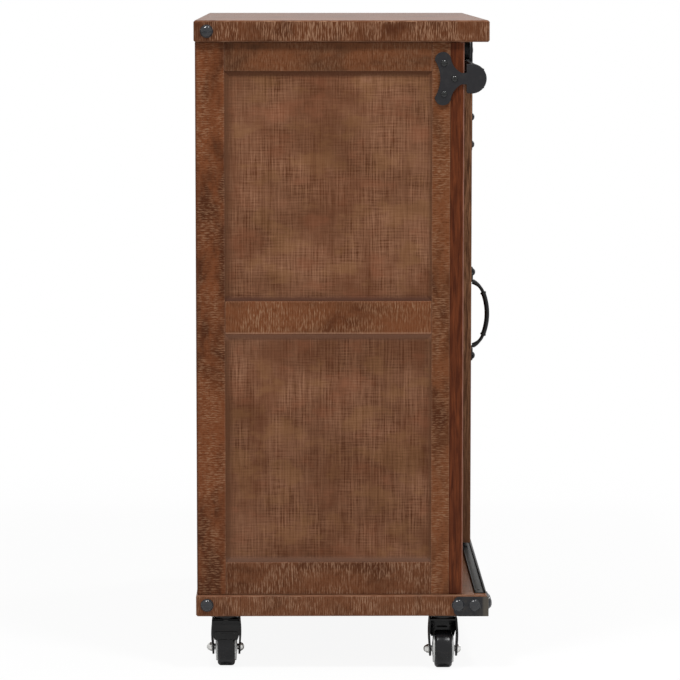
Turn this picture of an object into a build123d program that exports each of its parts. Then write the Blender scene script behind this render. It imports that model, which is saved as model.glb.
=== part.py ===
from build123d import *
from math import atan2, degrees
import os

# Storage cabinet on castors. The front faces -Y, the width runs along X, +Z is up.
# The origin is at floor level, in the middle of the whole outline. All lengths are millimetres.

# Carcass boards
board_width = 740.0
board_depth = 384.0
top_thickness = 28.0
base_thickness = 28.0
ledge_depth = 32.5
board_round = 2.0
arris = 0.8
overrun = 1.0

# Side frames
side_height = 727.0
side_thickness = 22.0
side_inset = 6.0
rear_inset = 1.5
rear_stile_width = 38.0
front_stile_width = 24.0
top_rail_height = 38.0
middle_rail_height = 43.5
middle_rail_rise = 345.5
bottom_rail_height = 43.5

# Dished panels of the sides and the door
panel_thickness = 12.0
panel_set_back = 1.0
panel_flat_edge = 0.6
panel_border = 6.0
panel_dish_depth = 2.4

# Front face frame
face_thickness = 17.8
face_post_width = 34.0
face_rail_height = 60.0

# Inside of the carcass
divider_thickness = 18.0
back_thickness = 6.0
back_inset = 8.0
shelf_thickness = 18.0
shelf_rise = 343.0
shelf_side_gap = 1.0
shelf_front_inset = 10.0
shelf_pin_radius = 3.0
shelf_pin_length = 18.0
shelf_pin_hole_depth = 7.0
shelf_pin_clearance = 0.1

# Rail and its trefoil end brackets
rail_height = 25.0
rail_thickness = 5.0
bracket_thickness = 3.0
bracket_drop = 47.5
bracket_disc_reach = 9.6
bracket_disc_radius = 19.4
bracket_face_gap = 3.0
bracket_rim = 0.9
lobe_back = 37.4
lobe_rise = 24.0
lobe_radius = 10.6
shoulder_back = 23.1
shoulder_rise = 16.0
waist_back = 13.1
waist_rise = 7.4
hollow_back = 40.9
outer_screw_back = 36.1
outer_screw_rise = 20.0
inner_screw_back = 22.4
bracket_screw_head_radius = 4.2
bracket_screw_head_height = 2.0
bracket_screw_radius = 2.0
bracket_screw_length = 16.0
screw_clearance = 0.05

# Sliding door
door_thickness = 18.0
door_gap = 10.0
door_overlap = 10.0
door_end_gap = 2.0
door_rail_gap = 5.0
door_floor_gap = 9.0
door_stile_width = 58.0
door_top_rail_height = 104.0
door_middle_rail_height = 58.0
door_middle_rail_rise = 290.0
door_bottom_rail_height = 64.0

# Rollers and hanger straps
roller_radius = 17.0
roller_width = 9.0
roller_groove_depth = 2.5
roller_groove_side_gap = 0.4
roller_rail_gap = 0.3
roller_pin_radius = 3.0
roller_pin_clearance = 0.05
roller_pin_head_radius = 6.0
roller_pin_head_height = 1.2
roller_pin_nut_height = 4.0
roller_side_gap = 0.25
hanger_inset = 60.0
strap_width = 20.0
strap_thickness = 3.0
strap_bolt_drop = 133.8
strap_bolt_pitch = 39.0
strap_tail = 8.0
strap_top_gap = 3.0
bolt_head_radius = 5.2
bolt_head_height = 3.4
bolt_radius = 2.5
bolt_nut_radius = 5.0
bolt_nut_height = 3.0

# Pull handle
handle_inset = 29.0
handle_centre_rise = 334.0
handle_span = 134.0
handle_projection = 27.0
handle_foot_length = 22.0
handle_foot_width = 16.0
handle_foot_thickness = 3.4
handle_foot_round = 6.0
handle_screw_inset = 7.5
handle_bow_inset = 21.0
handle_neck_radius = 2.7
handle_grip_radius = 3.5
handle_grip_inset = 35.0
handle_collar_radius = 4.3
handle_collar_length = 3.0

# Floor track and the door's guide pins
track_width = 13.7
track_wall = 1.5
track_lip_height = 4.0
track_end_inset = 13.0
track_screw_head_radius = 2.6
track_screw_head_height = 0.8
track_screw_radius = 1.4
track_screw_length = 12.0
track_screw_end_inset = 18.0
track_screw_count = 3
guide_pin_radius = 3.0
guide_pin_length = 22.0
guide_pin_floor_gap = 0.6
guide_pin_inset = 40.0

# Corner irons and dome nails
iron_leg = 46.0
iron_height = 26.0
iron_thickness = 2.0
iron_round = 7.0
iron_nail_rise = 15.0
iron_nail_near = 16.6
iron_nail_far = 38.2
nail_head_radius = 8.6
nail_head_height = 5.0
nail_shank_radius = 1.5
nail_shank_length = 14.0
base_nail_inset = 14.5
top_nail_inset = 17.0

# Castors
castor_height = 73.0
castor_side_inset = 32.0
castor_front_inset = 57.0
castor_rear_inset = 39.0
castor_trail = 8.0
castor_plate_length = 40.0
castor_plate_thickness = 2.5
castor_plate_round = 4.0
castor_race_radius = 15.0
castor_race_height = 4.0
kingpin_radius = 4.0
kingpin_clearance = 0.05
kingpin_head_radius = 7.0
kingpin_head_height = 2.0
plate_screw_pitch = 30.0
plate_screw_head_radius = 3.0
plate_screw_head_height = 1.8
plate_screw_radius = 1.8
plate_screw_length = 14.0
wheel_radius = 25.0
wheel_width = 23.0
wheel_tread_round = 4.0
hub_radius = 10.0
hub_width = 31.0
axle_radius = 4.0
axle_clearance = 0.05
axle_head_radius = 6.2
axle_head_height = 5.0
axle_nut_height = 7.5
fork_gap = 32.0
fork_thickness = 2.6
fork_crown_radius = 17.5
fork_leg_radius = 10.0
fork_leg_top_width = 34.4
fork_wall_height = 26.0

# Places worked out from the sizes above
front_reach = door_gap + door_thickness + handle_projection
rear_reach = board_depth - ledge_depth
face_front = front_reach - (front_reach + rear_reach) / 2
board_front = face_front - ledge_depth
board_rear = board_front + board_depth
face_rear = face_front + face_thickness
side_rear = board_rear - rear_inset
side_outer = board_width / 2 - side_inset
side_inner = side_outer - side_thickness
base_bottom = castor_height
base_top = base_bottom + base_thickness
top_bottom = base_top + side_height
top_top = top_bottom + top_thickness
back_front = side_rear - back_inset - back_thickness
rail_centre = top_bottom - bracket_drop
rail_top = rail_centre + rail_height / 2
door_rear = face_front - door_gap
door_front = door_rear - door_thickness
hang_line = door_front + roller_side_gap + roller_width / 2
door_left = -door_overlap
door_right = side_outer - door_end_gap
door_bottom = base_top + door_floor_gap
door_top = rail_centre - rail_height / 2 - door_rail_gap
groove_radius = roller_radius - roller_groove_depth
roller_axis = rail_top + roller_rail_gap + groove_radius
hanger_places = [door_left + hanger_inset, door_right - hanger_inset]
strap_bolt_heights = [roller_axis - strap_bolt_drop, roller_axis - strap_bolt_drop + strap_bolt_pitch]
handle_line = door_left + handle_inset
handle_centre = base_top + handle_centre_rise
handle_bow_half_span = handle_span / 2 - handle_bow_inset
handle_grip_half_span = handle_span / 2 - handle_grip_inset
sides = {"left": -1, "right": 1}

nodes = {}


def span_box(x_span, y_span, z_span):
    """A plain block between two places along each axis."""
    sizes = [high - low for low, high in (x_span, y_span, z_span)]
    centre = [(low + high) / 2 for low, high in (x_span, y_span, z_span)]
    return Pos(*centre) * Box(*sizes)


def board(x_span, y_span, z_span, ease=arris):
    """A block of timber with eased edges."""
    block = span_box(x_span, y_span, z_span)
    return chamfer(block.edges(), ease)


def ordered(first, second):
    """Two places in rising order."""
    return (min(first, second), max(first, second))


def rod(start, direction, length, radius):
    """A round bar from a point, along a direction."""
    return extrude(Plane(start, z_dir=direction) * Circle(radius), length)


def dome(start, direction, radius, height):
    """A low round head whose flat side sits on a point."""
    ball_radius = (radius ** 2 + height ** 2) / (2 * height)
    base = Plane(start, z_dir=direction)
    ball = base * (Pos(0, 0, height - ball_radius) * Sphere(ball_radius))
    return ball & extrude(base * Circle(radius), height)


def drill(carriers, start, direction, length, radius):
    """A fastener's hole in each named piece, wider than the fastener by its clearance."""
    hole = rod(start, direction, length + screw_clearance, radius + screw_clearance)
    for carrier in carriers:
        nodes[carrier] = nodes[carrier] - hole


def fix(carriers, start, direction, head, shank):
    """A dome headed nail, screw or bolt: its head on the surface, its shank in the pieces it holds."""
    back = tuple(-part for part in direction)
    shank_radius, shank_length = shank
    drill(carriers, start, back, shank_length, shank_radius)
    return dome(start, direction, *head) + rod(start, back, shank_length, shank_radius)


def dished_panel(x_span, z_span, face, outward):
    """A panel in the XZ plane whose face dips towards the middle behind a sloped border."""
    width = x_span[1] - x_span[0]
    height = z_span[1] - z_span[0]
    centre = ((x_span[0] + x_span[1]) / 2, face, (z_span[0] + z_span[1]) / 2)
    blank = span_box(x_span, ordered(face, face - outward * panel_thickness), z_span)
    mouth = Plane(centre, x_dir=(1, 0, 0), z_dir=(0, -outward, 0))
    slope = degrees(atan2(panel_border, panel_dish_depth))
    opening = Rectangle(width - 2 * panel_flat_edge, height - 2 * panel_flat_edge)
    return blank - extrude(mouth * opening, panel_dish_depth, taper=slope)


def build_boards():
    """Top board and base board, cut to the same outline."""
    x_span = (-board_width / 2, board_width / 2)
    y_span = (board_front, board_rear)
    nodes["top_board"] = board(x_span, y_span, (top_bottom, top_top), board_round)
    nodes["base_board"] = board(x_span, y_span, (base_bottom, base_top), board_round)


def build_side(name, hand):
    """One side: two stiles, three rails and two panels."""
    x_span = ordered(hand * side_inner, hand * side_outer)
    rear_stile = (side_rear - rear_stile_width, side_rear)
    front_stile = (face_rear, face_rear + front_stile_width)
    between = (front_stile[1], rear_stile[0])
    levels = {
        "bottom_rail": (base_top, base_top + bottom_rail_height),
        "middle_rail": (base_top + middle_rail_rise, base_top + middle_rail_rise + middle_rail_height),
        "top_rail": (top_bottom - top_rail_height, top_bottom),
    }
    nodes[f"{name}_rear_stile"] = board(x_span, rear_stile, (base_top, top_bottom))
    nodes[f"{name}_front_stile"] = board(x_span, front_stile, (base_top, top_bottom))
    for rail, level in levels.items():
        nodes[f"{name}_{rail}"] = board(x_span, between, level)
    fields = {
        "lower_panel": (levels["bottom_rail"][1], levels["middle_rail"][0]),
        "upper_panel": (levels["middle_rail"][1], levels["top_rail"][0]),
    }
    for panel, field in fields.items():
        across = ordered(hand * between[0], hand * between[1])
        flat = dished_panel(across, field, panel_set_back - side_outer, -1)
        nodes[f"{name}_{panel}"] = Rot(0, 0, 90 * hand) * flat


def build_face_frame():
    """Posts and top rail of the front, with the divider and the back behind them."""
    depth = (face_front, face_rear)
    upright = (base_top, top_bottom)
    post_inner = side_outer - face_post_width
    for name, hand in sides.items():
        across = ordered(hand * post_inner, hand * side_outer)
        nodes[f"{name}_face_post"] = board(across, depth, upright)
    rail_level = (top_bottom - face_rail_height, top_bottom)
    nodes["face_top_rail"] = board((-post_inner, post_inner), depth, rail_level)
    middle = (-divider_thickness / 2, divider_thickness / 2)
    nodes["centre_divider"] = board(middle, (face_rear, back_front), upright)
    back_depth = (back_front, back_front + back_thickness)
    nodes["back_panel"] = span_box((-side_inner, side_inner), back_depth, upright)


def build_shelves():
    """A shelf in each half on four pins, two in the side's stiles and two in the divider."""
    pins = []
    level = base_top + shelf_rise
    pin_level = level - shelf_pin_radius - shelf_pin_clearance
    pin_rows = [face_rear + front_stile_width / 2, side_rear - rear_stile_width / 2 - back_inset]
    depth = (face_rear + shelf_front_inset, back_front)
    for name, hand in sides.items():
        inner = divider_thickness / 2 + shelf_side_gap
        across = ordered(hand * inner, hand * (side_inner - shelf_side_gap))
        nodes[f"{name}_shelf"] = board(across, depth, (level, level + shelf_thickness))
        for row, stile in zip(pin_rows, ("front_stile", "rear_stile")):
            walls = ((f"{name}_{stile}", side_inner, 1), ("centre_divider", divider_thickness / 2, -1))
            for wall, place, into in walls:
                start = (hand * (place + into * shelf_pin_hole_depth), row, pin_level)
                along = (-hand * into, 0, 0)
                pins.append(rod(start, along, shelf_pin_length, shelf_pin_radius))
                drill([wall], start, along, shelf_pin_length, shelf_pin_radius)
    nodes["shelf_pins"] = Compound(children=pins)


def bracket_outline():
    """Trefoil plate: two lobes, a hollow back and a waist that runs into the round end."""
    tips = [(lobe_back + lobe_radius, side * lobe_rise) for side in (-1, 1)]
    edges = [ThreePointArc(tips[0], (hollow_back, 0), tips[1])]
    for side, tip in zip((-1, 1), tips):
        shoulder = (lobe_back - lobe_radius, side * lobe_rise)
        waist = (waist_back, side * waist_rise)
        edges.append(ThreePointArc(tip, (lobe_back, side * (lobe_rise + lobe_radius)), shoulder))
        edges.append(ThreePointArc(shoulder, (shoulder_back, side * shoulder_rise), waist))
        edges.append(Line(waist, (0, side * waist_rise)))
    edges.append(Line((0, -waist_rise), (0, waist_rise)))
    return make_face(edges)


def build_rail():
    """The door rail, its trefoil end brackets and their screws."""
    screws = []
    disc_y = face_front - bracket_disc_reach
    disc_reach = bracket_disc_radius + overrun
    places = [(outer_screw_back, side * outer_screw_rise) for side in (-1, 1)] + [(inner_screw_back, 0)]
    head = (bracket_screw_head_radius, bracket_screw_head_height)
    shank = (bracket_screw_radius, bracket_screw_length)
    for name, hand in sides.items():
        seat = Plane((hand * side_outer, disc_y, rail_centre), x_dir=(0, 1, 0), z_dir=(hand, 0, 0))
        disc = extrude(seat * Circle(bracket_disc_radius), bracket_thickness)
        disc = chamfer(disc.edges().sort_by(Axis.X)[-1 if hand > 0 else 0], bracket_rim)
        across = ordered(hand * (side_outer - overrun), hand * (side_outer + bracket_thickness + overrun))
        depth = (disc_y - disc_reach, face_front - bracket_face_gap)
        disc = disc & span_box(across, depth, (rail_centre - disc_reach, rail_centre + disc_reach))
        nodes[f"{name}_rail_bracket"] = extrude(seat * bracket_outline(), bracket_thickness) + disc
        carriers = [f"{name}_{piece}" for piece in ("rail_bracket", "front_stile", "face_post", "top_rail")]
        for back, rise in places:
            start = (hand * (side_outer + bracket_thickness), disc_y + back, rail_centre + rise)
            screws.append(fix(carriers, start, (hand, 0, 0), head, shank))
    nodes["bracket_screws"] = Compound(children=screws)
    across = (hang_line - rail_thickness / 2, hang_line + rail_thickness / 2)
    upright = (rail_centre - rail_height / 2, rail_top)
    nodes["door_rail"] = span_box((-side_outer, side_outer), across, upright)


def build_door():
    """The sliding door: two stiles, three rails and two panels."""
    depth = (door_front, door_rear)
    upright = (door_bottom, door_top)
    between = (door_left + door_stile_width, door_right - door_stile_width)
    middle = door_bottom + door_middle_rail_rise
    levels = {
        "bottom_rail": (door_bottom, door_bottom + door_bottom_rail_height),
        "middle_rail": (middle, middle + door_middle_rail_height),
        "top_rail": (door_top - door_top_rail_height, door_top),
    }
    nodes["door_left_stile"] = board((door_left, between[0]), depth, upright)
    nodes["door_right_stile"] = board((between[1], door_right), depth, upright)
    for rail, level in levels.items():
        nodes[f"door_{rail}"] = board(between, depth, level)
    face = door_front + panel_set_back
    lower = (levels["bottom_rail"][1], levels["middle_rail"][0])
    upper = (levels["middle_rail"][1], levels["top_rail"][0])
    nodes["door_lower_panel"] = dished_panel(between, lower, face, -1)
    nodes["door_upper_panel"] = dished_panel(between, upper, face, -1)


def build_hangers():
    """Hanger straps on the door's front, with grooved rollers that run on the rail."""
    straps = []
    pins = []
    strap_front = door_front - strap_thickness
    roller_front = hang_line - roller_width / 2
    roller_rear = hang_line + roller_width / 2
    head = (roller_pin_head_radius, roller_pin_head_height)
    shank = (roller_pin_radius, strap_thickness + roller_width + 2 * roller_side_gap)
    low = roller_axis - strap_bolt_drop - strap_tail
    length = top_bottom - strap_top_gap - strap_width / 2 - low
    for place in hanger_places:
        face = Plane((place, door_front, low + length / 2), x_dir=(0, 0, 1), z_dir=(0, -1, 0))
        strap = extrude(face * SlotOverall(length + strap_width, strap_width), strap_thickness)
        strap = strap - span_box(
            (place - strap_width, place + strap_width),
            (strap_front - overrun, door_front + overrun),
            (low - strap_width, low),
        )
        straps.append(chamfer(strap.faces().sort_by(Axis.Y)[0].edges(), arris))
    nodes["hanger_straps"] = Compound(children=straps)
    for name, place in zip(sides, hanger_places):
        pin = fix(["hanger_straps"], (place, strap_front, roller_axis), (0, -1, 0), head, shank)
        nut_seat = Plane((place, roller_rear + roller_side_gap, roller_axis), z_dir=(0, 1, 0))
        nut = RegularPolygon(roller_pin_head_radius, 6)
        pins.append(pin + extrude(nut_seat * nut, roller_pin_nut_height))
        nodes[f"{name}_roller"] = roller(place, roller_front)
    nodes["roller_pins"] = Compound(children=pins)


def roller(place, front):
    """A roller with a groove that is a little wider than the rail."""
    groove_width = rail_thickness + 2 * roller_groove_side_gap
    seat = Plane((place, front, roller_axis), z_dir=(0, 1, 0))
    blank = extrude(seat * Circle(roller_radius), roller_width)
    blank = chamfer(blank.edges(), arris)
    groove_seat = Plane((place, hang_line - groove_width / 2, roller_axis), z_dir=(0, 1, 0))
    ring = Circle(roller_radius + overrun) - Circle(groove_radius)
    bore = rod((place, front, roller_axis), (0, 1, 0), roller_width, roller_pin_radius + roller_pin_clearance)
    return blank - extrude(groove_seat * ring, groove_width) - bore


def build_handle():
    """A bowed pull handle on two feet."""
    feet = []
    bow_centre_out = handle_projection - handle_grip_radius
    ends = [(handle_line, door_front - handle_foot_thickness / 2, handle_centre + side * handle_bow_half_span)
            for side in (-1, 1)]
    crown = (handle_line, door_front - bow_centre_out, handle_centre)
    bow = ThreePointArc(ends[0], crown, ends[1])
    sagitta = bow_centre_out - handle_foot_thickness / 2
    bow_radius = (handle_bow_half_span ** 2 + sagitta ** 2) / (2 * sagitta)
    bow_axis = Axis((handle_line, door_front - bow_centre_out + bow_radius, handle_centre), (1, 0, 0))
    neck = sweep(Plane(ends[0], z_dir=bow % 0) * Circle(handle_neck_radius), path=bow)
    half_turn = degrees(atan2(handle_grip_half_span, (bow_radius ** 2 - handle_grip_half_span ** 2) ** 0.5))
    collar_turn = degrees(handle_collar_length / bow_radius)
    middle = Plane(crown, z_dir=(0, 0, 1))
    grip = ring_piece(middle, bow_axis, handle_grip_radius, -half_turn, half_turn)
    collars = [
        ring_piece(middle, bow_axis, handle_collar_radius, side * half_turn - collar_turn / 2,
                   side * half_turn + collar_turn / 2)
        for side in (-1, 1)
    ]
    for side in (-1, 1):
        foot_middle = handle_centre + side * (handle_span - handle_foot_length) / 2
        seat = Plane((handle_line, door_front, foot_middle), x_dir=(1, 0, 0), z_dir=(0, -1, 0))
        outline = RectangleRounded(handle_foot_width, handle_foot_length, handle_foot_round)
        foot = extrude(seat * outline, handle_foot_thickness)
        feet.append(chamfer(foot.faces().sort_by(Axis.Y)[0].edges(), arris))
    whole = neck + grip + collars + feet
    behind = span_box(
        (handle_line - handle_foot_width, handle_line + handle_foot_width),
        (door_front, door_front + handle_projection),
        (handle_centre - handle_span, handle_centre + handle_span),
    )
    nodes["door_handle"] = whole - behind


def ring_piece(section_plane, axis, radius, first, last):
    """A round bar bent about an axis, from one angle to another."""
    section = section_plane * Circle(radius)
    start = section.rotate(axis, first)
    return revolve(start, axis, last - first)


def build_door_bolts():
    """Dome headed bolts of the straps and the handle, with their nuts behind the door."""
    bolts = []
    strap_front = door_front - strap_thickness
    foot_front = door_front - handle_foot_thickness
    screw_reach = handle_span / 2 - handle_screw_inset
    places = [(place, strap_front, level) for place in hanger_places for level in strap_bolt_heights]
    places += [(handle_line, foot_front, handle_centre + side * screw_reach) for side in (-1, 1)]
    carriers = ["hanger_straps", "door_handle", "door_left_stile", "door_right_stile", "door_top_rail"]
    for x, y, z in places:
        shank = (bolt_radius, door_rear - y)
        bolt = fix(carriers, (x, y, z), (0, -1, 0), (bolt_head_radius, bolt_head_height), shank)
        nut_seat = Plane((x, door_rear, z), z_dir=(0, 1, 0))
        bolts.append(bolt + extrude(nut_seat * RegularPolygon(bolt_nut_radius, 6), bolt_nut_height))
    nodes["door_bolts"] = Compound(children=bolts)


def build_track():
    """The floor track on the ledge, its screws, and the door's guide pins that run in it."""
    reach = board_width / 2 - track_end_inset
    across = (hang_line - track_width / 2, hang_line + track_width / 2)
    channel = (across[0] + track_wall, across[1] - track_wall)
    floor = base_top + track_wall
    lip_top = base_top + track_lip_height
    bar = span_box((-reach, reach), across, (base_top, lip_top))
    hollow = span_box((-reach - overrun, reach + overrun), channel, (floor, lip_top + overrun))
    nodes["floor_track"] = bar - hollow
    head = (track_screw_head_radius, track_screw_head_height)
    shank = (track_screw_radius, track_screw_length)
    first = -reach + track_screw_end_inset
    pitch = 2 * (reach - track_screw_end_inset) / (track_screw_count - 1)
    screws = []
    for index in range(track_screw_count):
        start = (first + index * pitch, hang_line, floor)
        screws.append(fix(["floor_track", "base_board"], start, (0, 0, 1), head, shank))
    nodes["track_screws"] = Compound(children=screws)
    pins = []
    lowest = floor + track_screw_head_height + guide_pin_floor_gap
    for name, place in (("left", door_left + guide_pin_inset), ("right", door_right - guide_pin_inset)):
        start = (place, hang_line, lowest)
        pins.append(rod(start, (0, 0, 1), guide_pin_length, guide_pin_radius))
        drill([f"door_{name}_stile"], start, (0, 0, 1), guide_pin_length, guide_pin_radius)
    nodes["guide_pins"] = Compound(children=pins)


def corner_iron(hand):
    """An iron bent round one front corner of the base, with rounded ends."""
    corner_x = board_width / 2
    outer_x = hand * (corner_x + iron_thickness)
    outer_y = board_front - iron_thickness
    far_x = outer_x - hand * iron_leg
    far_y = outer_y + iron_leg
    level = (base_bottom, base_bottom + iron_height)
    block = span_box(ordered(outer_x, far_x), (outer_y, far_y), level)
    bend = block.edges().filter_by(Axis.Z).group_by(Axis.Y)[0].sort_by(Axis.X)
    block = fillet(bend[-1 if hand > 0 else 0], iron_thickness)
    inside = span_box(
        ordered(hand * corner_x, far_x - hand * overrun),
        (board_front, far_y + overrun),
        (level[0] - overrun, level[1] + overrun),
    )
    iron = block - inside
    side_ends = iron.edges().filter_by(Axis.X).group_by(Axis.Y)[-1]
    front_ends = iron.edges().filter_by(Axis.Y).group_by(Axis.X)[0 if hand > 0 else -1]
    return fillet(side_ends + front_ends, iron_round)


def build_irons():
    """Corner irons round the base's front corners, and the dome nails of both boards."""
    nodes["corner_irons"] = Compound(children=[corner_iron(hand) for hand in sides.values()])
    head = (nail_head_radius, nail_head_height)
    shank = (nail_shank_radius, nail_shank_length)
    corner_x = board_width / 2
    level = base_bottom + iron_nail_rise
    nails = []
    for hand in sides.values():
        for back in (iron_nail_near, iron_nail_far):
            beside = (hand * (corner_x + iron_thickness), board_front + back, level)
            before = (hand * (corner_x - back), board_front - iron_thickness, level)
            for start, along in ((beside, (hand, 0, 0)), (before, (0, -1, 0))):
                nails.append(fix(["corner_irons", "base_board"], start, along, head, shank))
        rear_nails = {
            "base_board": (base_nail_inset, level),
            "top_board": (top_nail_inset, top_bottom + top_thickness / 2),
        }
        for timber, (inset, middle) in rear_nails.items():
            start = (hand * corner_x, board_rear - inset, middle)
            nails.append(fix([timber], start, (hand, 0, 0), head, shank))
    nodes["dome_nails"] = Compound(children=nails)


def castor_places():
    """Each castor's name, swivel axis and the way that its wheel trails at rest."""
    rows = {
        "front": (board_front + castor_front_inset, -1),
        "rear": (board_rear - castor_rear_inset, 1),
    }
    for row, (y, trail) in rows.items():
        for name, hand in sides.items():
            yield f"{row}_{name}", hand * (board_width / 2 - castor_side_inset), y, trail


def castor_plate(x, y, plate_bottom, crown_top):
    """A plate with the ring that the fork turns under, and the kingpin that holds the fork."""
    outline = RectangleRounded(castor_plate_length, castor_plate_length, castor_plate_round)
    plate = Pos(x, y, plate_bottom) * extrude(outline, castor_plate_thickness)
    race = rod((x, y, plate_bottom), (0, 0, -1), castor_race_height, castor_race_radius)
    pin_length = fork_thickness + screw_clearance
    kingpin = rod((x, y, crown_top), (0, 0, -1), pin_length, kingpin_radius)
    kingpin_head = rod((x, y, crown_top - pin_length), (0, 0, -1), kingpin_head_height, kingpin_head_radius)
    return plate + race + kingpin + kingpin_head


def build_castors():
    """Four swivel castors: plates and screws on the base, and a fork, axle and wheel for each."""
    plate_bottom = base_bottom - castor_plate_thickness
    crown_top = plate_bottom - castor_race_height
    places = list(castor_places())
    nodes["castor_plates"] = Compound(
        children=[castor_plate(x, y, plate_bottom, crown_top) for name, x, y, trail in places]
    )
    head = (plate_screw_head_radius, plate_screw_head_height)
    shank = (plate_screw_radius, plate_screw_length)
    offsets = (-plate_screw_pitch / 2, plate_screw_pitch / 2)
    screws = []
    for name, x, y, trail in places:
        for across in offsets:
            for along in offsets:
                start = (x + across, y + along, plate_bottom)
                screws.append(fix(["castor_plates", "base_board"], start, (0, 0, -1), head, shank))
        axle_point = (x + trail * castor_trail, y, wheel_radius)
        nodes[f"{name}_castor_fork"] = castor_fork(x, y, trail, crown_top)
        nodes[f"{name}_castor_axle"] = castor_axle(axle_point)
        nodes[f"{name}_castor_wheel"] = castor_wheel(axle_point)
        start = (axle_point[0], y - fork_gap / 2 - fork_thickness, wheel_radius)
        drill([f"{name}_castor_fork"], start, (0, 1, 0), fork_gap + 2 * fork_thickness, axle_radius)
    nodes["castor_screws"] = Compound(children=screws)


def castor_fork(x, y, trail, crown_top):
    """A pressed fork: a round crown, two legs that taper to the axle and a short front wall."""
    half_outer = fork_gap / 2 + fork_thickness
    crown_low = crown_top - fork_thickness
    reach = fork_leg_top_width / 2
    crown = extrude(Plane((x, y, crown_low)) * Circle(fork_crown_radius), fork_thickness)
    crown = crown + span_box((x - reach, x + reach), (y - half_outer, y + half_outer), (crown_low, crown_top))
    leg_end = Pos(trail * castor_trail, -wheel_radius) * Circle(fork_leg_radius)
    leg_top = Pos(0, fork_thickness / 2 - crown_top) * Rectangle(fork_leg_top_width, fork_thickness)
    outline = make_hull([*leg_end.edges(), *leg_top.edges()])
    leg_plane = Plane((x, y - half_outer, 0), x_dir=(1, 0, 0), z_dir=(0, 1, 0))
    leg = extrude(leg_plane * outline, fork_thickness)
    legs = leg + Pos(0, fork_gap + fork_thickness, 0) * leg
    wall_x = ordered(x - trail * reach, x - trail * (reach - fork_thickness))
    wall = span_box(wall_x, (y - half_outer, y + half_outer), (crown_low - fork_wall_height, crown_top))
    bore = rod((x, y, crown_low), (0, 0, 1), fork_thickness, kingpin_radius + kingpin_clearance)
    return crown + legs + wall - bore


def castor_axle(point):
    """An axle bolt with a hexagon head and a nut outside the fork's legs."""
    half_outer = fork_gap / 2 + fork_thickness
    start = (point[0], point[1] - half_outer, point[2])
    end = (point[0], point[1] + half_outer, point[2])
    hexagon = RegularPolygon(axle_head_radius, 6)
    shank = rod(start, (0, 1, 0), 2 * half_outer, axle_radius)
    head = extrude(Plane(start, z_dir=(0, -1, 0)) * hexagon, axle_head_height)
    return shank + head + extrude(Plane(end, z_dir=(0, 1, 0)) * hexagon, axle_nut_height)


def castor_wheel(point):
    """A wheel with a rounded tread and a hub boss that reaches towards the fork's legs."""
    tread_seat = Plane((point[0], point[1] - wheel_width / 2, point[2]), z_dir=(0, 1, 0))
    tread = extrude(tread_seat * Circle(wheel_radius), wheel_width)
    tread = fillet(tread.edges(), wheel_tread_round)
    hub_start = (point[0], point[1] - hub_width / 2, point[2])
    hub = chamfer(rod(hub_start, (0, 1, 0), hub_width, hub_radius).edges(), arris)
    bore = rod(hub_start, (0, 1, 0), hub_width, axle_radius + axle_clearance)
    return tread + hub - bore


def main():
    """Build every piece and write one file for each."""
    build_boards()
    for name, hand in sides.items():
        build_side(name, hand)
    build_face_frame()
    build_shelves()
    build_rail()
    build_door()
    build_hangers()
    build_handle()
    build_door_bolts()
    build_track()
    build_irons()
    build_castors()
    os.makedirs("parts", exist_ok=True)
    for name, piece in nodes.items():
        export_step(piece, os.path.join("parts", f"{name}.step"))
    print(len(nodes), "pieces")


main()
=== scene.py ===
"""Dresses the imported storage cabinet: stained fir, charcoal iron fittings, a hanging door and castors."""

import logging
import math
import random
from contextlib import contextmanager
from dataclasses import dataclass
from enum import Enum
from typing import Any, Callable, Iterator, Optional, Sequence, Union

import bpy
from mathutils import Matrix, Vector


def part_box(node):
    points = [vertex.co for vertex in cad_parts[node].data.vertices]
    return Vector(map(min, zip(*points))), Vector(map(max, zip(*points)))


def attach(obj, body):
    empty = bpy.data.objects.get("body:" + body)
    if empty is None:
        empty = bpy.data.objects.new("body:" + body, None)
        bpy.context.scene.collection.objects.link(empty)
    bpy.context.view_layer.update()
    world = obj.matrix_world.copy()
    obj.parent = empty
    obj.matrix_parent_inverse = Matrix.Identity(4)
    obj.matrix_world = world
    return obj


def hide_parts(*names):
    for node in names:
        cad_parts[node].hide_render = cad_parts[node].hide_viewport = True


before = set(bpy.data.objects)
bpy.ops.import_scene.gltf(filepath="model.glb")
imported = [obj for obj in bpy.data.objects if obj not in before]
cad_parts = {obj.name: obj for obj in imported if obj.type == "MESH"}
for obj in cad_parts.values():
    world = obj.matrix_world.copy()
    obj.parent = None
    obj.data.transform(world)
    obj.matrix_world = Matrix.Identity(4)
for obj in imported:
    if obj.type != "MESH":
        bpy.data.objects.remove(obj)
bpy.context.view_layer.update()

log = logging.getLogger("cabinet")

Colour = tuple[float, float, float]
Span = tuple[float, float]
Box = tuple[Vector, Vector]

UP = Vector((0, 0, 1))
ORIGIN = Vector((0, 0, 0))
WHITE: Colour = (1.0, 1.0, 1.0)
PATTERN_REACH = 40.0


class Lie(Enum):
    """The axis along which a board's length runs."""

    ACROSS = 0
    DEEP = 1
    UPRIGHT = 2


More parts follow.
